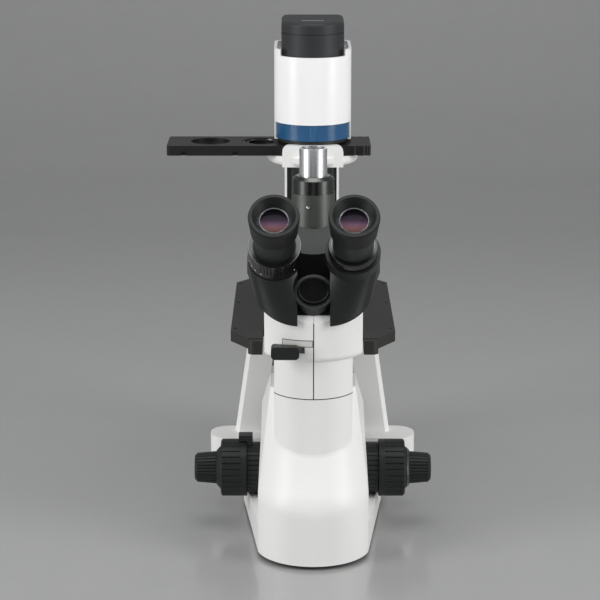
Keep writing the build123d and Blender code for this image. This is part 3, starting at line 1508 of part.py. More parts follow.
def power_rocker():
    """Shallow V-shaped switch cap that tips about a cross axis."""
    low = BASE_BACK - 4
    face = make_face(
        Polyline(
            (low, INLET_Z - ROCKER_HALF_HEIGHT + 1.5),
            (low, INLET_Z + ROCKER_HALF_HEIGHT - 1.5),
            (BASE_BACK + 3, INLET_Z + ROCKER_HALF_HEIGHT - 0.8),
            (BASE_BACK + 1, INLET_Z),
            (BASE_BACK + 3, INLET_Z - ROCKER_HALF_HEIGHT + 0.8),
            close=True,
        )
    )
    cap = extrude(
        Plane.YZ.offset(ROCKER_X - ROCKER_HALF_WIDTH).location * face,
        2 * ROCKER_HALF_WIDTH,
    )
    pin = Plane(origin=(ROCKER_X, low + 3, INLET_Z), z_dir=(1, 0, 0))
    return cap + pin.location * Cylinder(1.5, 2 * ROCKER_HALF_WIDTH + 0.6)


def dial_axis(solid):
    frame = Plane(origin=(BASE_HALF_WIDTH, DIAL_Y, DIAL_Z), z_dir=(1, 0, 0))
    return frame.location * solid


def brightness_dial():
    dial = disc(DIAL_RADIUS, 0.3, DIAL_HEIGHT)
    dial -= ribbed(DIAL_RADIUS, 0.6, 24, 2, DIAL_HEIGHT + 1)
    return dial_axis(dial + disc(3, -CASTING_WALL - 2, 1))


def pair(solid):
    """The right-hand piece and its mirror image, as two solids of one node."""
    return [solid, mirrored(solid)]


def pieces():
    """Every piece by name."""
    left_cover, right_cover = tower_covers()
    middle = (WING_BACK + KNUCKLE_TOP) / 2
    low = (WING_BACK, middle - KNUCKLE_GAP / 2)
    high = (middle + KNUCKLE_GAP / 2, KNUCKLE_TOP)
    parts = {
        "base_casting": base_casting(),
        "base_plate": base_plate(),
        "rubber_feet": rubber_feet(),
        "right_stage_leg": stage_leg(),
        "left_stage_leg": mirrored(stage_leg()),
        "stage_plate": stage_plate(),
        "stage_insert": stage_insert(),
        "stage_front_rails": stage_front_rails(),
        "left_tower_cover": left_cover,
        "right_tower_cover": right_cover,
        "light_tube": light_tube(),
        "tube_lens": tube_lens(),
        "fold_mirrors": [
            fold_mirror(0, 1, BASE_TOP),
            fold_mirror(TOWER_Y, -1, CASTING_BOTTOM),
        ],
        "light_path_lever": light_path_lever(),
        "prism_block": prism_block(),
        "coarse_shaft": on_axle(coarse_shaft()),
        "coarse_knobs": pair(on_axle(coarse_knob())),
        "focus_pinion": on_axle(focus_pinion()),
        "fine_shaft": on_axle(Cylinder(FINE_SHAFT_RADIUS, 2 * FINE_OUTER_X - 1)),
        "fine_knobs": pair(on_axle(fine_knob())),
        "tension_ring": mirrored(on_axle(tension_ring())),
        "right_focus_collar": on_axle(focus_collar()),
        "focus_guide": focus_guide(),
        "focus_carriage": focus_carriage(),
        "nosepiece_base": nosepiece_base(),
        "nosepiece_turret": nosepiece_turret(),
        "objective_10x": objective(0, OBJECTIVE_LENGTH, 11, 7),
        "objective_4x": objective(1, OBJECTIVE_LENGTH - 6, 11, 8),
        "objective_25x": objective(2, OBJECTIVE_LENGTH + 4, 11, 6),
        "objective_40x": objective(3, OBJECTIVE_LENGTH + 6, 11.5, 5.5),
        "pillar": pillar(),
        "pillar_front_panel": pillar_front_panel(),
        "lamp_housing": lamp_housing(),
        "lamp_cap": lamp_cap(),
        "blue_band": blue_band(),
        "collector_cell": collector_cell(),
        "collector_lens": collector_lens(),
        "lamp_socket": lamp_socket(),
        "lamp_bulb": lamp_bulb(),
        "slider_carrier": slider_carrier(),
        "phase_slider": phase_slider(),
        "condenser_barrel": condenser_barrel(),
        "condenser_lens": condenser_lens(),
        "head_body": head_body(),
        "left_wing": wing(-1, low, (high[0] - KNUCKLE_GAP, 140)),
        "right_wing": wing(1, high, (0, low[1] + KNUCKLE_GAP)),
        "diopter_ring": diopter_ring(),
        "photo_tube": photo_tube(),
        "photo_ring": photo_ring(),
        "photo_sleeve": photo_sleeve(),
        "power_supply": power_supply(),
        "power_inlet": power_inlet(),
        "power_rocker": power_rocker(),
        "brightness_dial": brightness_dial(),
    }
    for name, side in (("left", -1), ("right", 1)):
        parts[f"{name}_eyepiece"] = eyepiece(side)
        parts[f"{name}_eyecup"] = eyecup(side)
        parts[f"{name}_eye_lens"] = eye_lens(side)
    return parts


def main():
    os.makedirs("parts", exist_ok=True)
    for name, solid in pieces().items():
        shape = Compound(children=solid) if isinstance(solid, list) else solid
        export_step(shape, f"parts/{name}.step")


main()
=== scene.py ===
# %% [markdown]
# # Dressing an inverted microscope
# The solids of this bench microscope come ready made as a fixed frame, in metres.
# This lesson gives each of them the finish of the real thing, adds the small fittings that
# a machinist or a moulder would add last, and sets up a plain studio around it.

# %% Load the frame
import json
from math import asin, cos, pi, radians, sin

import bmesh
import bpy
from mathutils import Matrix, Vector


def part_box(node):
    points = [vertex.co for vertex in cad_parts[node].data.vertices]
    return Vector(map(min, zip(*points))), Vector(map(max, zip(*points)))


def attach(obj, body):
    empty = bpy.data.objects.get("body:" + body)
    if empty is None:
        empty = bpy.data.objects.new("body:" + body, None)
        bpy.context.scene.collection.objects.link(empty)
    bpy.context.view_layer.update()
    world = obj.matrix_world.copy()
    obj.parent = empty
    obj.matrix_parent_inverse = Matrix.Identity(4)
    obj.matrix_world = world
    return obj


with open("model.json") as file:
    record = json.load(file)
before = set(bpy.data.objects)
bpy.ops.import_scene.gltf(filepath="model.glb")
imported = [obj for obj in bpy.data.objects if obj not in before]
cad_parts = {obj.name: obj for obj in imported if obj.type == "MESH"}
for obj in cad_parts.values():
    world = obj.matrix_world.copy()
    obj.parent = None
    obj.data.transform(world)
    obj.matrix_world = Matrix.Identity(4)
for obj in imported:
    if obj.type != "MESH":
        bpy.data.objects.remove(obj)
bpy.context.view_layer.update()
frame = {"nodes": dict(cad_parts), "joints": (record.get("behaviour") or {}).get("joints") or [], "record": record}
nodes = frame["nodes"]
MM = 0.001

# %% [markdown]
# ## Helpers for finishes
# Colours are written as sRGB hex, as a paint card gives them, and Blender wants linear light.
# One small function adds a shader node with its settings and its links, so that a material
# reads as a short list of steps, and another lets a noise roughen a surface.


# %% Colour and node helpers
def linear(code):
    shares = [int(code[i : i + 2], 16) / 255 for i in (1, 3, 5)]
    light = [c / 12.92 if c <= 0.04045 else ((c + 0.055) / 1.055) ** 2.4 for c in shares]
    return (*light, 1.0)


def add(tree, kind, values=None, links=(), **settings):
    made = tree.nodes.new(kind)
    for name, value in settings.items():
        setattr(made, name, value)
    for socket, value in (values or {}).items():
        made.inputs[socket].default_value = value
    for socket, source, output in links:
        tree.links.new(source.outputs[output], made.inputs[socket])
    return made


def blank(name):
    """An empty material with its output, its shader and the coordinates of the object."""
    material = bpy.data.materials.new(name)
    material.use_nodes = True
    tree = material.node_tree
    tree.nodes.clear()
    shader = add(tree, "ShaderNodeBsdfPrincipled")
    add(tree, "ShaderNodeOutputMaterial", links=[("Surface", shader, "BSDF")])
    place = add(tree, "ShaderNodeTexCoord")
    return material, tree, shader, place


# A noise node gives values around a half, and most of them lie between these two.
NOISE_LOW, NOISE_HIGH = 0.3, 0.7


def roughen(tree, shader, noise, rough, spread, strength, relief_mm):
    """Let a noise shift the roughness by a share of itself and raise a bump of a real height."""
    gloss = add(
        tree,
        "ShaderNodeMapRange",
        {
            "From Min": NOISE_LOW,
            "From Max": NOISE_HIGH,
            "To Min": rough * (1 - spread),
            "To Max": rough * (1 + spread),
        },
        [("Value", noise, "Fac")],
    )
    bump = add(
        tree,
        "ShaderNodeBump",
        {"Strength": strength, "Distance": relief_mm * MM},
        [("Height", noise, "Fac")],
    )
    tree.links.new(gloss.outputs["Result"], shader.inputs["Roughness"])
    tree.links.new(bump.outputs["Normal"], shader.inputs["Normal"])


# %% [markdown]
# ## One recipe for paint, moulding and anodising
# Stove enamel, moulded plastic, anodised aluminium and rubber are all a colour under a thin
# skin, and what tells them apart is how rough that skin is and how coarse its grain is.
# A slow noise shifts the colour a little, as batches and handling do, and a fine noise at the
# real grain size shifts the roughness and gives a bump.
# Grain below half a millimetre is drawn coarser than life, because it would vanish in the render.
#
# Each finish below is a name, two close colours, a roughness, a grain size and a relief height.

# %% The skin recipe
CLOUD_MM = 45.0
GRAIN_SPREAD, GRAIN_STRENGTH = 0.15, 0.5
COAT_ROUGH = 0.12


def skin(name, colour, shade, rough, grain_mm, relief_mm, coat=0.0, ior=1.5, metallic=0.0):
    material, tree, shader, place = blank(name)
    cloud = add(
        tree,
        "ShaderNodeTexNoise",
        {"Scale": 1 / (CLOUD_MM * MM), "Detail": 4.0, "Roughness": 0.6},
        [("Vector", place, "Object")],
    )
    grain = add(
        tree,
        "ShaderNodeTexNoise",
        {"Scale": 1 / (grain_mm * MM), "Detail": 3.0},
        [("Vector", place, "Object")],
    )
    tone = add(
        tree,
        "ShaderNodeMix",
        {"A": linear(colour), "B": linear(shade)},
        [("Factor", cloud, "Fac")],
        data_type="RGBA",
    )
    shader.inputs["IOR"].default_value = ior
    shader.inputs["Metallic"].default_value = metallic
    shader.inputs["Coat Weight"].default_value = coat
    shader.inputs["Coat Roughness"].default_value = COAT_ROUGH
    tree.links.new(tone.outputs["Result"], shader.inputs["Base Color"])
    roughen(tree, shader, grain, rough, GRAIN_SPREAD, GRAIN_STRENGTH, relief_mm)
    return material


# %% Finishes that are a skin
# Stove enamel on the castings: bright white with a soft gloss and a faint orange peel.
white_enamel = skin("white_stove_enamel", "#eeeeec", "#e9eae7", 0.44, 3.0, 0.006, coat=0.05)
# The lamp housing is given a whiter white than the castings' enamel: painted light for the brighter light that
# falls on it.
lamp_white_painted_light = skin("white_with_painted_light", "#fafaf9", "#f6f6f5", 0.36, 3.0, 0.006, coat=0.2)
# Charcoal enamel on the head: a greenish near-black with an eggshell sheen.
charcoal_enamel = skin("charcoal_eggshell_enamel", "#292c2b", "#242625", 0.42, 0.9, 0.03, ior=1.4)
# The swinging housings are sprayed a shade deeper than the body behind them.
deep_charcoal = skin("deep_charcoal_enamel", "#1c201f", "#181a19", 0.42, 0.9, 0.03, ior=1.4)
# Brushed grey anodising of the photo tube: a metal that still shows soft streaks of light.
tube_grey = skin("brushed_grey_anodising", "#626561", "#565955", 0.44, 0.7, 0.02, metallic=0.7)
# Black anodised aluminium: dull, with the sparkle of a bead-blasted surface.
anodised = skin("black_anodised_aluminium", "#2e2e2c", "#282826", 0.5, 0.7, 0.04, ior=1.4)
# The phase slider is dyed deeper than the stage.
slider_black = skin("deep_black_anodising", "#1d1d1c", "#181817", 0.42, 0.7, 0.03, ior=1.4)
# Moulded black ABS of the knobs: fine spark texture that keeps highlights broad.
moulded_black = skin("moulded_black_abs", "#1f2121", "#1a1c1b", 0.46, 0.8, 0.05, ior=1.4)
# Heat-resistant cap plastic: a bluish dark grey.
cap_grey = skin("moulded_grey_cap", "#323335", "#2c2d2f", 0.5, 1.0, 0.04, ior=1.35)
# Moulded rubber of the feet: no gloss at all, slightly dusty.
soft_rubber = skin("moulded_rubber", "#202221", "#272928", 0.7, 0.8, 0.06, ior=1.35)
# Eyecup rubber is wiped clean by use, so its rims catch a little light; its colour is set darker than the feet's
# rubber as painted shade for the hollow of the cup.
cup_rubber_painted_shade = skin("eyecup_rubber", "#161918", "#131514", 0.5, 0.8, 0.05, ior=1.4)
# Near-black sheet behind the hinge: painted shade between the swinging housings, which throws back almost nothing.
shade_black = skin("painted_shade_black", "#0c0c0c", "#121212", 0.95, 0.6, 0.12, ior=1.15)
# Dull black of the gaskets and the frame around the strip, and of the hinge cap, where it is also painted shade
# between the tubes.
dull_black_and_shade = skin("dull_black_paint_and_shade", "#0d0e0d", "#0a0b0a", 0.7, 0.9, 0.03, ior=1.15)
# Clear blue acrylic band in front of the lamp: wet-looking gloss.
blue_acrylic = skin("blue_acrylic", "#255a85", "#1f4f77", 0.16, 6.0, 0.01, coat=0.8)
# Black gloss enamel of the focusing ring, the right tube's sleeve and the phase slider's rings.
gloss_black = skin("black_gloss_enamel", "#171817", "#121312", 0.24, 1.5, 0.01, coat=0.3)
# Plain strip stock: a pale lacquered foil, which also colours the scale marks and the cap insert.
strip_foil = skin("lacquered_foil", "#d6d7d1", "#cccdc7", 0.4, 1.5, 0.01)
# Glazed ceramic of the lamp socket.
ceramic = skin("glazed_ceramic", "#e4dfd2", "#d9d3c4", 0.25, 3.0, 0.02, coat=0.5)
print("skins:", len(bpy.data.materials))

# %% [markdown]
# ## Turned metal
# Chrome, steel, brass and bare aluminium pieces here come off a lathe or a mill, so their
# surface carries fine tool marks.
# A noise that is drawn out along the direction of cut shows those marks as streaks in the
# roughness.
#
# Each metal below is a name, a colour, a roughness, the width of a mark and its direction.

# %% The turned recipe
MARK_STRENGTH = 0.25


def turned(name, colour, rough, mark_mm, stretch, relief_mm=0.01, spread=0.45):
    material, tree, shader, place = blank(name)
    lay = add(
        tree,
        "ShaderNodeMapping",
        {"Scale": Vector(stretch) / (mark_mm * MM)},
        [("Vector", place, "Object")],
    )
    marks = add(
        tree,
        "ShaderNodeTexNoise",
        {"Scale": 1.0, "Detail": 3.0},
        [("Vector", lay, "Vector")],
    )
    shader.inputs["Base Color"].default_value = linear(colour)
    shader.inputs["Metallic"].default_value = 1.0
    roughen(tree, shader, marks, rough, spread, MARK_STRENGTH, relief_mm)
    return material


# %% Finishes that are turned metal
AROUND_Z = (0.02, 0.02, 1.0)
ACROSS_X = (1.0, 0.05, 0.05)
EVEN = (1.0, 1.0, 1.0)
chrome = turned("bright_chrome_plate", "#e2e4e6", 0.12, 0.6, AROUND_Z)
steel = turned("turned_steel", "#b4b6b8", 0.28, 0.5, AROUND_Z)
brass = turned("machined_brass", "#c8a258", 0.25, 0.5, ACROSS_X)
bare_aluminium = turned("machined_aluminium", "#c6c8ca", 0.32, 0.6, AROUND_Z)
# Satin plating and gunmetal are blasted after turning, which leaves only a trace of the marks.
BLASTED = {"relief_mm": 0.0002, "spread": 0.1}
satin_chrome = turned("satin_chrome_plate", "#f2f4f5", 0.3, 0.6, AROUND_Z, **BLASTED)
gunmetal = turned("satin_gunmetal", "#5c5e5b", 0.24, 0.5, AROUND_Z, **BLASTED)
silvered = turned("silvered_glass", "#eef0f2", 0.04, 3.0, EVEN)
print("metals:", chrome.name, steel.name, brass.name)

# %% [markdown]
# ## Coated lenses
# An eyepiece lens looks like a dark well, and its colour is painted: a painted reflection of rose and amber low
# in the glass, and painted shade of the black tube behind it higher up.
# The colour follows the height on the lens, so it stays put when the camera moves.

# %% The lens recipe
LENS_ROUGH, LENS_IOR, LENS_GLARE = 0.12, 1.52, 0.04


def lens_painted_by_height(name, low_z, high_z, stops):
    material, tree, shader, place = blank(name)
    parts = add(tree, "ShaderNodeSeparateXYZ", links=[("Vector", place, "Object")])
    rise = add(
        tree,
        "ShaderNodeMapRange",
        {"From Min": low_z, "From Max": high_z},
        [("Value", parts, "Z")],
    )
    ramp = add(tree, "ShaderNodeValToRGB", links=[("Fac", rise, "Result")])
    ramp.color_ramp.interpolation = "B_SPLINE"
    tints = ramp.color_ramp.elements
    for i, (position, colour) in enumerate((stops[0], stops[-1])):
        tints[i].position = position
        tints[i].color = linear(colour)
    for position, colour in stops[1:-1]:
        tints.new(position).color = linear(colour)
    shader.inputs["Roughness"].default_value = LENS_ROUGH
    shader.inputs["IOR"].default_value = LENS_IOR
    shader.inputs["Specular IOR Level"].default_value = LENS_GLARE
    tree.links.new(ramp.outputs["Color"], shader.inputs["Base Color"])
    return material


# %% Finishes that are coated glass
# Painted reflection low in the eye lens, rose and amber, and painted shade high up, near black.
EYE_PAINTED_REFLECTION_STOPS = [
    (0.08, "#5a3c35"),
    (0.28, "#87615f"),
    (0.45, "#6a5068"),
    (0.6, "#241c28"),
    (0.9, "#100d12"),
]
eye_low, eye_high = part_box("left_eye_lens")
eye_glass_painted_reflection = lens_painted_by_height("eye_lens_painted_reflection", eye_low[2], eye_high[2], EYE_PAINTED_REFLECTION_STOPS)
BEAM_STOPS = [(0.0, "#8f97a8"), (0.5, "#a7a2b4"), (1.0, "#c9ccd2")]
beam_low, beam_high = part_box("collector_lens")
beam_glass = lens_painted_by_height("coated_beam_lens", beam_low[2], beam_high[2], BEAM_STOPS)
print("lenses between", round(eye_low[2], 4), "and", round(eye_high[2], 4))

# %% [markdown]
# ## Give every solid its finish
# The record names a material slot for each solid.
# Most slots map straight to one finish, and a few pieces get a finish of their own.

# %% Assign the finishes
BY_SLOT = {
    "white_enamel": white_enamel,
    "charcoal_enamel": charcoal_enamel,
    "black_anodised": anodised,
    "black_plastic": moulded_black,
    "grey_plastic": cap_grey,
    "blue_plastic": blue_acrylic,
    "rubber": soft_rubber,
    "chrome": chrome,
    "steel": steel,
    "brass": brass,
    "aluminium": bare_aluminium,
    "glass": beam_glass,
    "mirror": silvered,
    "ceramic": ceramic,
}
OWN = {
    "left_eye_lens": eye_glass_painted_reflection,
    "right_eye_lens": eye_glass_painted_reflection,
    "diopter_ring": gloss_black,
    "photo_ring": gunmetal,
    "photo_tube": tube_grey,
    "photo_sleeve": satin_chrome,
    "left_wing": deep_charcoal,
    "right_wing": deep_charcoal,
    "left_eyecup": cup_rubber_painted_shade,
    "right_eyecup": cup_rubber_painted_shade,
    "lamp_housing": lamp_white_painted_light,
    "phase_slider": slider_black,
}
for entry in frame["record"]["subparts"]:
    name = entry["node"]
    solid = nodes[name]
    solid.data.materials.clear()
    solid.data.materials.append(OWN.get(name, BY_SLOT[entry["material_slot"]]))

# %% [markdown]
# ## Places to build on
# Most fittings sit around an axis that something turns on, and the frame already knows those
# axes as joints.
# Each place below has its Z along such an axis, so that a ring is drawn upright and then laid
# where it belongs.
# The right eyepiece mirrors the left one, which turns with its focusing ring.

# %% Axes of the joints
JOINTS = {joint["name"]: joint for joint in frame["joints"]}
SIDEWAYS, BACKWARD, UPWARD = Vector((1, 0, 0)), Vector((0, 1, 0)), Vector((0, 0, 1))


def axis_place(joint_name, across):
    """The place at a joint with Z along its axis and X pointing across it."""
    joint = JOINTS[joint_name]
    along = Vector(joint["axis"]).normalized()
    turn = Matrix((across, along.cross(across), along)).transposed().to_4x4()
    return Matrix.Translation(joint["pos_m"]) @ turn


HUB = axis_place("left_swing", SIDEWAYS)
LEFT_EYE = axis_place("diopter_turn", SIDEWAYS)
RIGHT_EYE = Matrix.Translation((-2 * LEFT_EYE.translation.x, 0, 0)) @ LEFT_EYE
AXLE = axis_place("coarse_turn", BACKWARD)
TURRET = axis_place("turret_turn", SIDEWAYS)
print("hub at", [round(v, 4) for v in HUB.translation])

# %% [markdown]
# ## Tools for small fittings
# The first tool turns a finished mesh into an object that rides on one moving body.
# The others each make one kind of mesh with mesh operators: a section spun all the way around
# an axis, a section spun part of the way, and a box with eased edges.

# %% Piece and ring tools
WELD = 1e-7
SHARP = radians(35)


def piece(name, shape, material, body):
    bmesh.ops.remove_doubles(shape, verts=shape.verts, dist=WELD)
    bmesh.ops.recalc_face_normals(shape, faces=shape.faces)
    mesh = bpy.data.meshes.new(name)
    shape.to_mesh(mesh)
    shape.free()
    mesh.materials.append(material)
    mesh.shade_smooth()
    mesh.set_sharp_from_angle(angle=SHARP)
    made = bpy.data.objects.new(name, mesh)
    bpy.context.collection.objects.link(made)
    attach(made, body)
    print(name, "has", len(mesh.polygons), "faces")
    return made


def closed_loop(shape, points):
    """The corner points and edges of a closed outline."""
    loop = [shape.verts.new(point) for point in points]
    edges = [shape.edges.new((loop[i - 1], loop[i])) for i in range(len(loop))]
    return loop + edges


def ring(radius, seat, steps, place, around=96):
    """A section of (out, up) steps from a radius and a seat height, spun about the axis of a place."""
    shape = bmesh.new()
    section = closed_loop(shape, [((radius + out) * MM, 0, (seat + up) * MM) for out, up in steps])
    bmesh.ops.spin(
        shape,
        geom=section,
        cent=(0, 0, 0),
        axis=UPWARD,
        angle=2 * pi,
        steps=around,
        use_merge=True,
    )
    bmesh.ops.transform(shape, matrix=place, verts=shape.verts)
    return shape


# %% Strip and box tools
def bent_strip(section, arc, arc_y, first, last, steps):
    """A section of (proud, height) points, spun from one angle to another about an upright axis."""
    band = bmesh.new()
    points = []
    for proud, height in section:
        radius = arc + proud
        points.append((radius * sin(first) * MM, (arc_y - radius * cos(first)) * MM, height * MM))
    bmesh.ops.spin(
        band,
        geom=closed_loop(band, points),
        cent=(0, arc_y * MM, 0),
        axis=UPWARD,
        angle=last - first,
        steps=steps,
    )
    return band


def close_ends(band):
    bmesh.ops.holes_fill(band, edges=[e for e in band.edges if e.is_boundary], sides=4)
    return band


def added_corners(grown):
    """The corner points that an extrusion added."""
    return [v for v in grown["geom"] if isinstance(v, bmesh.types.BMVert)]


def eased_box(size, place, ease, segments, back_edges_only=False):
    """A box of a size at a place, in millimetres, with all its edges rounded or those along Y."""
    box = bmesh.new()
    bmesh.ops.create_cube(box, size=1.0)
    bmesh.ops.scale(box, vec=Vector(size) * MM, verts=box.verts)
    edges = box.edges[:]
    if back_edges_only:
        edges = [e for e in edges if e.verts[0].co.y != e.verts[1].co.y]
    bmesh.ops.bevel(
        box,
        geom=edges,
        offset=ease * MM,
        affect="EDGES",
        segments=segments,
        profile=0.5,
        material=-1,
    )
    bmesh.ops.translate(box, vec=Vector(place) * MM, verts=box.verts)
    return box


# %% [markdown]
# ## Eyepiece rings
# A thin steel retaining ring holds each eye lens, and the focusing ring on the left tube
# carries a gunmetal edge and a row of white dots.
# The right tube has a gloss black sleeve with a gunmetal lip in its place, above a finely lined
# grip collar, and a dull black cap covers the hinge between the two tubes.
# Each ring starts from the radius and the height along the tube where it sits.

# %% Rings of the lenses and the right tube
LENS_RADIUS, LENS_SEAT = 12.45, 108.42
LENS_STEPS = [(0, 0), (1.85, 0), (1.65, 0.58), (0.85, 1.08), (0.15, 0.78)]
for side, place, body in (("left", LEFT_EYE, "left_wing"), ("right", RIGHT_EYE, "right_wing")):
    lens_ring = ring(LENS_RADIUS, LENS_SEAT, LENS_STEPS, place)
    piece(f"{side}_lens_ring", lens_ring, steel, body)

SLEEVE_RADIUS, SLEEVE_SEAT = 22.4, 58.2
SLEEVE_STEPS = [(0, 0), (0.35, 0), (0.35, 8.7), (-0.2, 9.6), (-3.1, 9.6), (-3.1, 9.4), (0, 9.4)]
sleeve = ring(SLEEVE_RADIUS, SLEEVE_SEAT, SLEEVE_STEPS, RIGHT_EYE)
piece("right_tube_sleeve", sleeve, gloss_black, "right_wing")

LIP_RADIUS, LIP_SEAT = 19.05, 68.2
LIP_STEPS = [(0, 0), (1.05, 0), (1.05, 0.4), (0, 0.4)]
lip = ring(LIP_RADIUS, LIP_SEAT, LIP_STEPS, RIGHT_EYE)
piece("right_tube_lip", lip, gunmetal, "right_wing")

# %% Hinge cap, focusing edge and grip collar
# The cap is black, and it is drawn dull and dark so that it also stands for the shade between the tubes: partly
# its own colour, partly painted shade.
HINGE_RADIUS, HINGE_SEAT = 14.7, 33.4
HINGE_STEPS = [
    (-HINGE_RADIUS, 2.85),
    (-1.8, 2.85),
    (-0.5, 2.4),
    (0, 1.6),
    (0, 0),
    (-0.5, 0),
    (-HINGE_RADIUS, 2.5),
]
hinge_cap = ring(HINGE_RADIUS, HINGE_SEAT, HINGE_STEPS, HUB)
piece("hinge_cap", hinge_cap, dull_black_and_shade, "stand")

EDGE_RADIUS, EDGE_SEAT = 24.45, 67.0
EDGE_STEPS = [(-0.75, 0.66), (-0.25, 0.62), (0, 0.3), (0, 0), (-0.25, 0), (-0.75, 0.5)]
focusing_edge = ring(EDGE_RADIUS, EDGE_SEAT, EDGE_STEPS, LEFT_EYE)
piece("focusing_ring_edge", focusing_edge, gunmetal, "diopter")

COLLAR_RADIUS, COLLAR_SEAT, COLLAR_HEIGHT = 25.1, 46.6, 11.3
COLLAR_LANDS, LAND_START, LAND_PITCH = 5, 0.4, 2.2
collar_steps = [(0, 0)]
for i in range(COLLAR_LANDS):
    land = LAND_START + LAND_PITCH * i
    collar_steps += [(0.5, land), (0.5, land + 1.9), (0.25, land + 2.0), (0.25, land + 2.1)]
collar_steps += [(0, COLLAR_HEIGHT)]
grip_collar = ring(COLLAR_RADIUS, COLLAR_SEAT, collar_steps, RIGHT_EYE)
piece("grip_collar", grip_collar, charcoal_enamel, "right_wing")

# %% Dots of the focusing ring
DOT_TURNS = (196, 210, 224, 240, 318)
DOT_OUT, DOT_UP = 24.42, 52.0
DOT_FOOT_RADIUS, DOT_TOP_RADIUS, DOT_HEIGHT = 0.65, 0.6, 0.3
on_side = Matrix.Translation((DOT_OUT * MM, 0, DOT_UP * MM)) @ Matrix.Rotation(pi / 2, 4, "Y")
dots = bmesh.new()
for turn in DOT_TURNS:
    bmesh.ops.create_cone(
        dots,
        cap_ends=True,
        segments=16,
        radius1=DOT_FOOT_RADIUS * MM,
        radius2=DOT_TOP_RADIUS * MM,
        depth=DOT_HEIGHT * MM,
        matrix=LEFT_EYE @ Matrix.Rotation(radians(turn), 4, "Z") @ on_side,
    )
piece("focusing_dots", dots, white_enamel, "diopter")

# %% [markdown]
# ## Painted shade behind the hinge
# A thin near-black sheet lies on the sloping front of the body, behind the two swinging housings, as
# painted shade in the recess between them.
# A flat grid gives it enough points along the top, which are drawn down in the middle so that
# the edge is hollow, and the sheet is then extruded to its thickness.

# %% Painted shade sheet
# This dark sheet stands for the shade between the housings: painted shade.
SHEET_HALF_WIDTH, SHEET_LOW, SHEET_HIGH = 22.0, 14.0, 51.5
SHEET_BACK, SHEET_FRONT = 20.02, 20.28
HOLLOW_DEPTH, HOLLOW_HALF_WIDTH = 3.0, 16.0
SHEET_MIDDLE = (SHEET_LOW + SHEET_HIGH) / 2
shade_sheet = bmesh.new()
bmesh.ops.create_grid(shade_sheet, x_segments=16, y_segments=1, size=0.5)
bmesh.ops.scale(shade_sheet, vec=(2 * SHEET_HALF_WIDTH, SHEET_HIGH - SHEET_LOW, 1), verts=shade_sheet.verts)
bmesh.ops.translate(shade_sheet, vec=(0, SHEET_MIDDLE, SHEET_BACK), verts=shade_sheet.verts)
for corner in shade_sheet.verts:
    if corner.co.y > SHEET_MIDDLE:
        corner.co.y -= HOLLOW_DEPTH * max(0.0, 1 - (corner.co.x / HOLLOW_HALF_WIDTH) ** 2)
thick = bmesh.ops.extrude_face_region(shade_sheet, geom=shade_sheet.faces[:])
bmesh.ops.translate(shade_sheet, vec=(0, 0, SHEET_FRONT - SHEET_BACK), verts=added_corners(thick))
bmesh.ops.transform(shade_sheet, matrix=HUB @ Matrix.Scale(MM, 4), verts=shade_sheet.verts)
piece("painted_shade_sheet", shade_sheet, shade_black, "stand")

# %% [markdown]
# ## Set screw of the photo tube
# The photo tube is clamped by a small screw in its front, a little to the left.
# It is a short cone whose top is inset and then pushed in, which leaves the socket for a key.

# %% Set screw
SCREW_Z, SCREW_TURN = 328.5, radians(-13.0)
SCREW_FOOT_RADIUS, SCREW_TOP_RADIUS, SCREW_HEIGHT, SCREW_PROUD = 2.1, 1.9, 1.0, 0.2
SCREW_RIM, SOCKET_DEPTH = 0.8, 0.7
tube_low, tube_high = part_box("photo_tube")
tube_middle = Matrix.Translation((0, (tube_low.y + tube_high.y) / 2, SCREW_Z * MM))
tube_wall = Matrix.Translation((0, -tube_high.x, 0)) @ Matrix.Rotation(pi / 2, 4, "X")
screw = bmesh.new()
bmesh.ops.create_cone(
    screw,
    cap_ends=True,
    segments=24,
    radius1=SCREW_FOOT_RADIUS * MM,
    radius2=SCREW_TOP_RADIUS * MM,
    depth=SCREW_HEIGHT * MM,
    matrix=Matrix.Translation((0, 0, SCREW_PROUD * MM)),
)
head = [f for f in screw.faces if f.normal.z > 0.9]
bmesh.ops.inset_region(screw, faces=head, thickness=SCREW_RIM * MM)
socket = list({v for f in head for v in f.verts})
bmesh.ops.translate(screw, verts=socket, vec=(0, 0, -SOCKET_DEPTH * MM))
screw_place = tube_middle @ Matrix.Rotation(SCREW_TURN, 4, "Z") @ tube_wall
bmesh.ops.transform(screw, matrix=screw_place, verts=screw.verts)
piece("tube_set_screw", screw, steel, "stand")

# %% [markdown]
# ## Bare strip on the upper cover
# A bare metal strip in a thin dark frame lies along the curve of the upper cover: the section
# of each is spun through part of a turn about the axis of that curve, and its two ends are closed.

# %% Strip and its frame
cover_low, cover_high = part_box("left_tower_cover")
COVER_FRONT = cover_low.y / MM
COVER_ARC = 54.82
COVER_ARC_Y = COVER_FRONT + COVER_ARC
STRIP_STEPS = 24
FRAME_REACH, FRAME_END = 29.0, radians(-0.7)
FRAME_SECTION = [(-0.4, 210.75), (0.16, 210.8), (0.16, 217.3), (-0.4, 217.35)]
frame_start = -asin(FRAME_REACH / COVER_ARC)
strip_frame = bent_strip(FRAME_SECTION, COVER_ARC, COVER_ARC_Y, frame_start, FRAME_END, STRIP_STEPS)
piece("strip_frame", close_ends(strip_frame), dull_black_and_shade, "stand")

STRIP_REACH, STRIP_END = 28.5, radians(-1.2)
STRIP_SECTION = [(-0.4, 211.3), (0.3, 211.4), (0.3, 216.7), (-0.4, 216.8)]
strip_start = -asin(STRIP_REACH / COVER_ARC)
strip = bent_strip(STRIP_SECTION, COVER_ARC, COVER_ARC_Y, strip_start, STRIP_END, STRIP_STEPS)
piece("bare_strip", close_ends(strip), strip_foil, "stand")

# %% [markdown]
# ## Gaskets of the tower covers
# The two covers are shells that meet at the front in a seam and stand on the column, and a thin
# dark gasket fills each joint.
# The one around the column is a section spun along the round front, and its open ends are then
# pulled back along the flat sides.
# The one in the seam is the outline of the covers as a narrow face, extruded sideways.

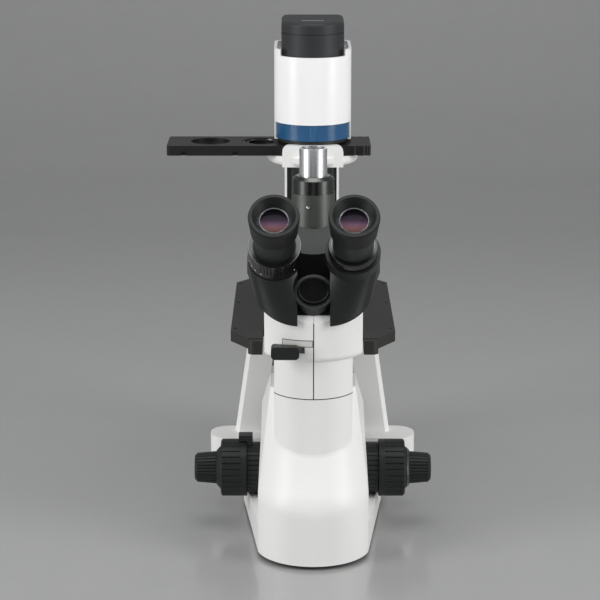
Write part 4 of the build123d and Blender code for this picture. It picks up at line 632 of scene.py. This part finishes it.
# %% Gasket around the column
STEP_ROUND = 5.0
NECK_FRONT = COVER_FRONT + STEP_ROUND
COLUMN_ARC, COLUMN_SIDE = 40.52, 37.0
COLUMN_ARC_Y = NECK_FRONT + COLUMN_ARC
JOINT_Z = cover_low.z / MM
JOINT_HALF_HEIGHT = 0.4
joint_section = [
    (-0.5, JOINT_Z - JOINT_HALF_HEIGHT - 0.05),
    (0.08, JOINT_Z - JOINT_HALF_HEIGHT),
    (0.08, JOINT_Z + JOINT_HALF_HEIGHT),
    (-0.5, JOINT_Z + JOINT_HALF_HEIGHT + 0.05),
]
sweep = asin(COLUMN_SIDE / COLUMN_ARC)
gasket = bent_strip(joint_section, COLUMN_ARC, COLUMN_ARC_Y, -sweep, sweep, steps=48)
for side in (-1, 1):
    ends = [e for e in gasket.edges if e.is_boundary and side * e.verts[0].co.x > 0]
    for corner in added_corners(bmesh.ops.extrude_edge_only(gasket, edges=ends)):
        corner.co.y = cover_high.y
piece("column_gasket", close_ends(gasket), dull_black_and_shade, "stand")

# %% Gasket in the seam
STEP_Z, SEAM_TOP = 196.0, 233.6
SEAM_PROUD, SEAM_DEPTH, SEAM_HALF_WIDTH = 0.06, 0.8, 0.45
seam_bottom = JOINT_Z + JOINT_HALF_HEIGHT
round_z = STEP_Z + STEP_ROUND
outline = [(NECK_FRONT - SEAM_PROUD, seam_bottom), (NECK_FRONT - SEAM_PROUD, STEP_Z - SEAM_PROUD)]
for i in range(7):
    turn = radians(15 * i)
    reach = STEP_ROUND + SEAM_PROUD
    outline.append((NECK_FRONT - reach * sin(turn), round_z - reach * cos(turn)))
outline += [
    (COVER_FRONT - SEAM_PROUD, SEAM_TOP),
    (COVER_FRONT + SEAM_DEPTH, SEAM_TOP),
    (COVER_FRONT + SEAM_DEPTH, round_z),
    (NECK_FRONT + SEAM_DEPTH, STEP_Z + 1.0),
    (NECK_FRONT + SEAM_DEPTH, seam_bottom),
]
seam = bmesh.new()
rim = seam.faces.new([seam.verts.new((-SEAM_HALF_WIDTH * MM, y * MM, z * MM)) for y, z in outline])
wide = bmesh.ops.extrude_face_region(seam, geom=[rim])
bmesh.ops.translate(seam, verts=added_corners(wide), vec=(2 * SEAM_HALF_WIDTH * MM, 0, 0))
piece("seam_gasket", seam, dull_black_and_shade, "stand")

# %% [markdown]
# ## Dust shutter of the lever
# Behind the slot in the cover a white plate moves with the light-path lever, so that the open
# part of the slot shows a plain surface and not the inside.
# It is a thin box, and the four edges that run back through it are rounded.

# %% Shutter
SHUTTER_SIZE = (17.0, 0.8, 10.0)
SHUTTER_PLACE = (-15.2, -191.0, 207.0)
SHUTTER_EASE = 1.5
shutter = eased_box(SHUTTER_SIZE, SHUTTER_PLACE, SHUTTER_EASE, 4, back_edges_only=True)
piece("lever_shutter", shutter, white_enamel, "light_path")

# %% [markdown]
# ## Rings of the phase slider and insert of the lamp cap
# Two openings of the slider hold a stepped black ring with a raised rim, which centres a phase
# plate, and the seat at the free end stays empty for a third.
# The finger slot in the top of the lamp cap has a pale insert with eased edges.

# %% Slider rings and cap insert
SLIDER_PITCH, PHASE_RINGS = 51.0, 2
PHASE_RADIUS = 13.3
PHASE_STEPS = [
    (0, -3.95),
    (6.0, -3.95),
    (6.0, -0.9),
    (5.3, -0.5),
    (3.7, -0.5),
    (3.3, -2.2),
    (1.3, -2.2),
    (0.9, -1.0),
    (0, -1.0),
]
slider_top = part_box("phase_slider")[1].z / MM
for i in range(PHASE_RINGS):
    opening = Matrix.Translation((-SLIDER_PITCH * i * MM, 0, 0))
    phase_ring = ring(PHASE_RADIUS, slider_top, PHASE_STEPS, opening, around=64)
    piece(f"phase_ring_{i + 1}", phase_ring, gloss_black, "slider")

INSERT_SIZE, INSERT_EASE, INSERT_DROP = (22.8, 7.8, 2.4), 0.5, 1.75
cap_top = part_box("lamp_cap")[1].z / MM
insert = eased_box(INSERT_SIZE, (0, 0, cap_top - INSERT_DROP), INSERT_EASE, 2)
piece("cap_slot_insert", insert, strip_foil, "stand")

# %% [markdown]
# ## Scale ring of the focus
# Between the coarse and fine knobs on the right sits a thin gunmetal ring with fine pale
# division marks, which reads the depth of focus.

# %% Scale ring
SCALE_RADIUS, SCALE_SEAT = 17.2, 92.7
SCALE_STEPS = [(0, 2.32), (1.3, 1.3), (2.4, 0), (2.7, 0), (1.6, 1.6), (0.2, 2.6)]
scale_ring = ring(SCALE_RADIUS, SCALE_SEAT, SCALE_STEPS, AXLE)
piece("focus_scale_ring", scale_ring, gunmetal, "coarse")

# %% Marks of the scale
MARKS, LONG_EVERY = 50, 5
LONG_MARK, SHORT_MARK = 1.5, 0.9
MARK_HEIGHT, MARK_WIDTH = 0.15, 0.18
MARK_OUT, MARK_UP, MARK_SLOPE = 19.38, 93.5, radians(-34.5)
on_slope = Matrix.Translation((MARK_OUT * MM, 0, MARK_UP * MM)) @ Matrix.Rotation(MARK_SLOPE, 4, "Y")
marks = bmesh.new()
for i in range(MARKS):
    length = SHORT_MARK if i % LONG_EVERY else LONG_MARK
    bar = Matrix.Diagonal((MARK_HEIGHT * MM, MARK_WIDTH * MM, length * MM, 1))
    around = Matrix.Rotation(2 * pi * i / MARKS, 4, "Z")
    bmesh.ops.create_cube(marks, size=1.0, matrix=AXLE @ around @ on_slope @ bar)
piece("focus_scale_marks", marks, strip_foil, "coarse")

# %% [markdown]
# ## Colour bands on the objectives
# Each objective carries a painted band that tells its power by colour.
# The turret leans, and each objective leans back by the same angle, so that the one in use
# stands upright.

# %% Objective bands
TILT = TURRET.col[2].xyz.angle(UPWARD)
OBJECTIVE_SEAT, BAND_BELOW_TIP = 98.52, 10.5
BAND_STEPS = [(-0.3, 0), (0.12, 0.1), (0.12, 2.4), (-0.3, 2.5)]
# The quarter turn on the turret, the length and radius in millimetres, and the paint.
BANDS = {
    "objective_10x": (0, 26, 11.0, "#d8b021"),
    "objective_4x": (1, 20, 11.0, "#b3242a"),
    "objective_25x": (2, 30, 11.0, "#2f8a48"),
    "objective_40x": (3, 32, 11.5, "#3f8fc4"),
}
for name, (quarter, length, radius, colour) in BANDS.items():
    paint = skin(f"{name}_band_paint", colour, colour, 0.35, 1.0, 0.02, coat=0.3)
    axis = TURRET @ Matrix.Rotation(quarter * pi / 2, 4, "Z") @ Matrix.Rotation(TILT, 4, "X")
    band = ring(radius, OBJECTIVE_SEAT + length - BAND_BELOW_TIP, BAND_STEPS, axis, around=64)
    piece(f"{name}_band", band, paint, "turret")

# %% [markdown]
# ## Studio
# A pale glossy floor that runs up into a low backdrop, just tall enough for the long lens, one
# large soft lamp from each side and a weaker one from above the camera.
# The camera stands where the photographer stood, with a long lens.

# %% Floor and backdrop
COVE_PATH = [(-2.2, 0.0), (1.3, 0.0), (1.6, 0.02), (1.85, 0.09), (2.03, 0.22), (2.1, 0.38)]
COVE_HALF_WIDTH = 3.0
cove = bmesh.new()
line = [cove.verts.new((-COVE_HALF_WIDTH, y, z)) for y, z in COVE_PATH]
rail = [cove.edges.new((line[i], line[i + 1])) for i in range(len(line) - 1)]
swept = bmesh.ops.extrude_edge_only(cove, edges=rail)
bmesh.ops.translate(cove, verts=added_corners(swept), vec=(2 * COVE_HALF_WIDTH, 0, 0))
bmesh.ops.recalc_face_normals(cove, faces=cove.faces)
cove_mesh = bpy.data.meshes.new("paper_cove")
cove.to_mesh(cove_mesh)
cove.free()
cove_mesh.shade_smooth()
paper = skin("pale_backdrop_paper", "#a4a4a3", "#9f9f9f", 0.33, 3.0, 0.001, coat=0.7)
cove_mesh.materials.append(paper)
backdrop = bpy.data.objects.new("paper_cove", cove_mesh)
bpy.context.collection.objects.link(backdrop)

# %% Lamps
CENTRE = (0.0, -0.05, 0.25)
SIDE_X, SIDE_Y, SIDE_Z = 1.65, -0.95, 0.8
SIDE_SIZE, SIDE_WATTS = (0.8, 1.4), 24
TOP_PLACE, TOP_SIZE, TOP_WATTS = (0.0, -0.3, 1.9), (1.4, 1.0), 14


def soft_lamp(name, place, size, watts):
    data = bpy.data.lights.new(name, "AREA")
    data.shape = "RECTANGLE"
    data.size, data.size_y = size
    data.energy = watts
    lamp = bpy.data.objects.new(name, data)
    lamp.location = place
    lamp.rotation_euler = (Vector(CENTRE) - Vector(place)).to_track_quat("-Z", "Y").to_euler()
    bpy.context.collection.objects.link(lamp)


soft_lamp("left_box", (-SIDE_X, SIDE_Y, SIDE_Z), SIDE_SIZE, SIDE_WATTS)
soft_lamp("right_box", (SIDE_X, SIDE_Y, SIDE_Z), SIDE_SIZE, SIDE_WATTS)
soft_lamp("top_box", TOP_PLACE, TOP_SIZE, TOP_WATTS)

# %% World and camera
AIR_COLOUR, AIR_STRENGTH = (0.8, 0.81, 0.83, 1), 0.34
CAMERA_PLACE, CAMERA_TILT = (-12.6, -2025.7, 713.0), radians(75.94)
LENS_LENGTH, SENSOR_WIDTH = 123.0, 36.0
world = bpy.data.worlds.new("studio_air")
bpy.context.scene.world = world
world.use_nodes = True
air = world.node_tree.nodes["Background"]
air.inputs["Color"].default_value = AIR_COLOUR
air.inputs["Strength"].default_value = AIR_STRENGTH
camera_data = bpy.data.cameras.new("photo_camera")
camera_data.lens = LENS_LENGTH
camera_data.sensor_width = SENSOR_WIDTH
camera = bpy.data.objects.new("photo_camera", camera_data)
camera.location = Vector(CAMERA_PLACE) * MM
camera.rotation_euler = (CAMERA_TILT, 0, 0)
bpy.context.collection.objects.link(camera)
bpy.context.scene.camera = camera
bpy.context.scene.view_settings.view_transform = "Standard"
